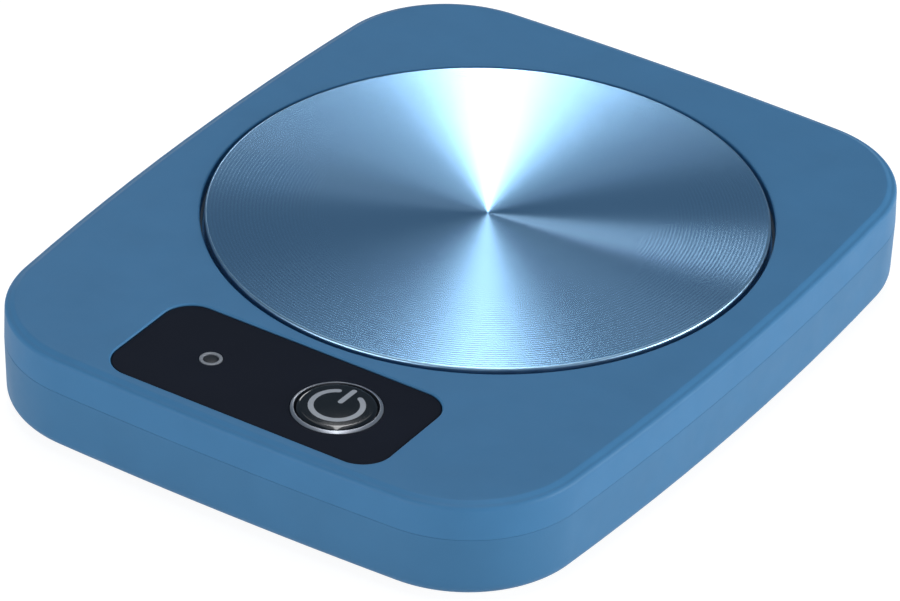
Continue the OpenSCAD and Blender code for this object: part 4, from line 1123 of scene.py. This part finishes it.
def dressInside():
    # name, colour, roughness, metallic, index, size and height of the grain, nodes
    kinds = (
        # silicone, compression moulded
        ("siliconeSeal", "#1d3346", 0.6, 0, 1.41, 0.4, 0.01, "plate_seal"),
        # muscovite flakes pressed to a board, then punched
        ("micaBoard", "#c9b68c", 0.42, 0, 1.58, 1.6, 0.02, "upper_mica lower_mica"),
        # stainless foil, etched and left bare
        ("etchedFoil", "#b9a06a", 0.3, 1, 1.5, 0.3, 0.003, "heater_track"),
        # mineral fibre, needled and die cut
        ("mineralFibre", "#e9e6df", 0.95, 0, 1.5, 0.5, 0.08, "insulation_pad"),
        # steel, stamped or cold headed, then zinc plated
        (
            "zincPlatedSteel", "#9aa0a6", 0.36, 1, 1.5, 0.6, 0.004,
            "retaining_plate retaining_screws sensor_clip fuse_bracket board_screws switch_cover "
            "inlet_strap strap_screws case_screws",
        ),
        # drawn steel can, nickel plated
        ("nickelPlatedCan", "#c8ccd0", 0.25, 1, 1.5, 0.8, 0.002, "temperature_sensor"),
        # steatite body, pressed, fired and glazed
        ("glazedSteatite", "#d8d4c8", 0.22, 0, 1.55, 0.7, 0.006, "thermal_fuse"),
        # silicone rubber, extruded over the strands
        (
            "siliconeInsulation", "#dcdcd6", 0.55, 0, 1.41, 0.5, 0.006,
            "heater_lead fuse_lead_in fuse_lead_out sensor_leads",
        ),
        # soft vinyl, extruded over the strands
        ("vinylInsulation", "#a32a25", 0.4, 0, 1.53, 0.6, 0.005, "supply_leads"),
        # acrylic foam tape with its liner off, die cut
        ("foamTape", "#d9d9d9", 0.8, 0, 1.48, 0.25, 0.03, "panel_tape"),
        # glass cloth and epoxy laminate under green solder resist
        ("solderResist", "#1d5a3c", 0.32, 0, 1.55, 0.35, 0.008, "circuit_board"),
        # white housing moulded round the lead frame
        ("ledHousing", "#f0ead0", 0.4, 0, 1.5, 0.3, 0.003, "indicator_led"),
        # nylon and acetal, injection moulded
        ("mouldedNylonDark", "#2a2a2c", 0.45, 0, 1.53, 0.4, 0.005, "switch_housing"),
        ("mouldedAcetalGrey", "#c9c9c4", 0.4, 0, 1.48, 0.4, 0.004, "switch_plunger"),
        # phosphor bronze, stamped and domed
        ("phosphorBronze", "#d6c27a", 0.25, 1, 1.5, 0.5, 0.002, "switch_dome"),
        # filled epoxy, transfer moulded
        (
            "mouldedEpoxy", "#202124", 0.6, 0, 1.55, 0.2, 0.006,
            "microcontroller power_transistor voltage_regulator chip_resistors",
        ),
        # aluminium can, drawn and lacquered
        ("lacqueredCan", "#b9bdc2", 0.3, 1, 1.5, 0.7, 0.003, "smoothing_capacitor"),
        # sintered ferrite, ground flat
        ("sinteredFerrite", "#3d3f43", 0.7, 0, 1.6, 0.25, 0.02, "inductor"),
        # fired titanate ceramic
        ("firedCeramic", "#b08a5a", 0.5, 0, 1.6, 0.3, 0.008, "chip_capacitors"),
        # nylon with glass fibre, injection moulded
        (
            "mouldedNylonCream", "#e6dfcc", 0.45, 0, 1.53, 0.45, 0.005,
            "heater_header heater_plug sensor_header sensor_plug supply_header supply_plug",
        ),
        ("mouldedNylonBlack", "#222326", 0.35, 0, 1.53, 0.5, 0.004, "inlet_housing"),
        # brass, turned, then nickel plated
        ("nickelPlatedBrass", "#d8d3c4", 0.22, 1, 1.5, 0.4, 0.002, "inlet_pin inlet_contacts"),
    )
    table = {}
    for name, colour, rough, metal, index, size, height, nodes in kinds:
        settings = {"Roughness": rough, "Metallic": metal}
        if not metal:
            settings["IOR"] = index
        material = simpleFinish(name, colour, settings, size, height)
        table.update((node, material) for node in nodes.split())
    # acrylic rod, moulded clear
    clear = {"Roughness": 0.06, "IOR": 1.49, "Transmission Weight": 0.92}
    table["light_guide"] = simpleFinish("clearAcrylic", "#dfe8ee", clear, 0.8, 0.002, 0.03)
    for name, node in cadNodes.items():
        if name not in table:
            continue
        if not node.material_slots:
            node.data.materials.append(table[name])
        for materialSlot in node.material_slots:
            materialSlot.material = table[name]


dressInside()
print("inner parts dressed")


# ---- floor, world and lamps

studio = {
    "world": 0.185,
    "worldColour": "#c6e6ff",
    "floorColour": "#f4f4f4",
    "floorSize": 8,  # metres
    "floorGlow": 0.92,
    "floorPaper": 0.22,  # grey of the sheet that takes the shadow under that glow
    # direction in degrees (round from +X, above the table, then turned about its own middle),
    # distance, width and height in mm, and the brightness of the lamp's face
    "lamps": {
        "longOverhead": {"at": (122.5, 80.5, 0), "away": 2000, "size": (240, 3200), "glow": 6.4},
        "wideOverhead": {"at": (122.5, 79.5, 0), "away": 2050, "size": (1300, 3300), "glow": 0.6},
        "slimBack": {"at": (139, 15, 21.6), "away": 1800, "size": (330, 440), "glow": 4.0},
        "rightKey": {"at": (22, 9, 0), "away": 1800, "size": (1300, 520), "glow": 14.5},
        "frontFill": {"at": (-105, 9, 0), "away": 1800, "size": (1300, 520), "glow": 8.0},
    },
}


def makeFloor():
    deselectAll()
    bpy.ops.mesh.primitive_plane_add(size=studio["floorSize"])
    floor = bpy.context.object
    floor.name = "floor"
    material = bpy.data.materials.new("whiteSheet")
    material.use_nodes = True
    tree = material.node_tree
    tree.nodes.clear()
    rays = addNode(tree, "ShaderNodeLightPath")
    # a lit sheet where it is seen, straight or mirrored, and plain paper for all other light
    seen = rays.outputs["Is Camera Ray"]
    for kind in ("Is Glossy Ray", "Is Transmission Ray"):
        seen = plainMath(tree, "MAXIMUM", seen, rays.outputs[kind])
    glow = addNode(
        tree,
        "ShaderNodeEmission",
        {"Color": greyTone(1.0), "Strength": studio["floorGlow"]},
    )
    paper = addNode(tree, "ShaderNodeBsdfDiffuse", {"Color": greyTone(studio["floorPaper"])})
    both = addNode(tree, "ShaderNodeAddShader", {}, {0: glow.outputs[0], 1: paper.outputs[0]})
    plain = addNode(tree, "ShaderNodeBsdfDiffuse", {"Color": hexColour(studio["floorColour"])})
    links = {0: seen, 1: plain.outputs[0], 2: both.outputs[0]}
    mix = addNode(tree, "ShaderNodeMixShader", {}, links)
    addNode(tree, "ShaderNodeOutputMaterial", {}, {"Surface": mix.outputs[0]})
    floor.data.materials.append(material)


def makeWorld():
    world = bpy.data.worlds.new("studio")
    bpy.context.scene.world = world
    world.use_nodes = True
    tree = world.node_tree
    tree.nodes.clear()
    rays = addNode(tree, "ShaderNodeLightPath")
    dim = addNode(
        tree,
        "ShaderNodeBackground",
        {"Color": hexColour(studio["worldColour"]), "Strength": studio["world"]},
    )
    white = addNode(tree, "ShaderNodeBackground", {"Color": greyTone(1.0), "Strength": 1.0})
    mix = addNode(
        tree,
        "ShaderNodeMixShader",
        {},
        {0: rays.outputs["Is Camera Ray"], 1: dim.outputs[0], 2: white.outputs[0]},
    )
    addNode(tree, "ShaderNodeOutputWorld", {}, {"Surface": mix.outputs[0]})


def makeLamps():
    for name, lampIs in studio["lamps"].items():
        data = bpy.data.lights.new(name, "AREA")
        data.shape = "RECTANGLE"
        width, height = (length * mm for length in lampIs["size"])
        data.size = width
        data.size_y = height
        data.energy = lampIs["glow"] * math.pi * width * height
        lamp = bpy.data.objects.new(name, data)
        flat, above, turn = (math.radians(angle) for angle in lampIs["at"])
        level = Vector((-math.sin(flat), math.cos(flat), 0))
        towards = Vector(
            (math.cos(flat) * math.cos(above), math.sin(flat) * math.cos(above), math.sin(above))
        )
        # the lamp shines along its own -Z
        upright = towards.cross(level)
        sideways = math.cos(turn) * level + math.sin(turn) * upright
        turned = Matrix((sideways, towards.cross(sideways), towards)).transposed()
        lamp.matrix_world = Matrix.Translation(towards * lampIs["away"] * mm) @ turned.to_4x4()
        lamp.visible_camera = False
        bpy.context.scene.collection.objects.link(lamp)


makeFloor()
makeWorld()
makeLamps()
print("studio set up")
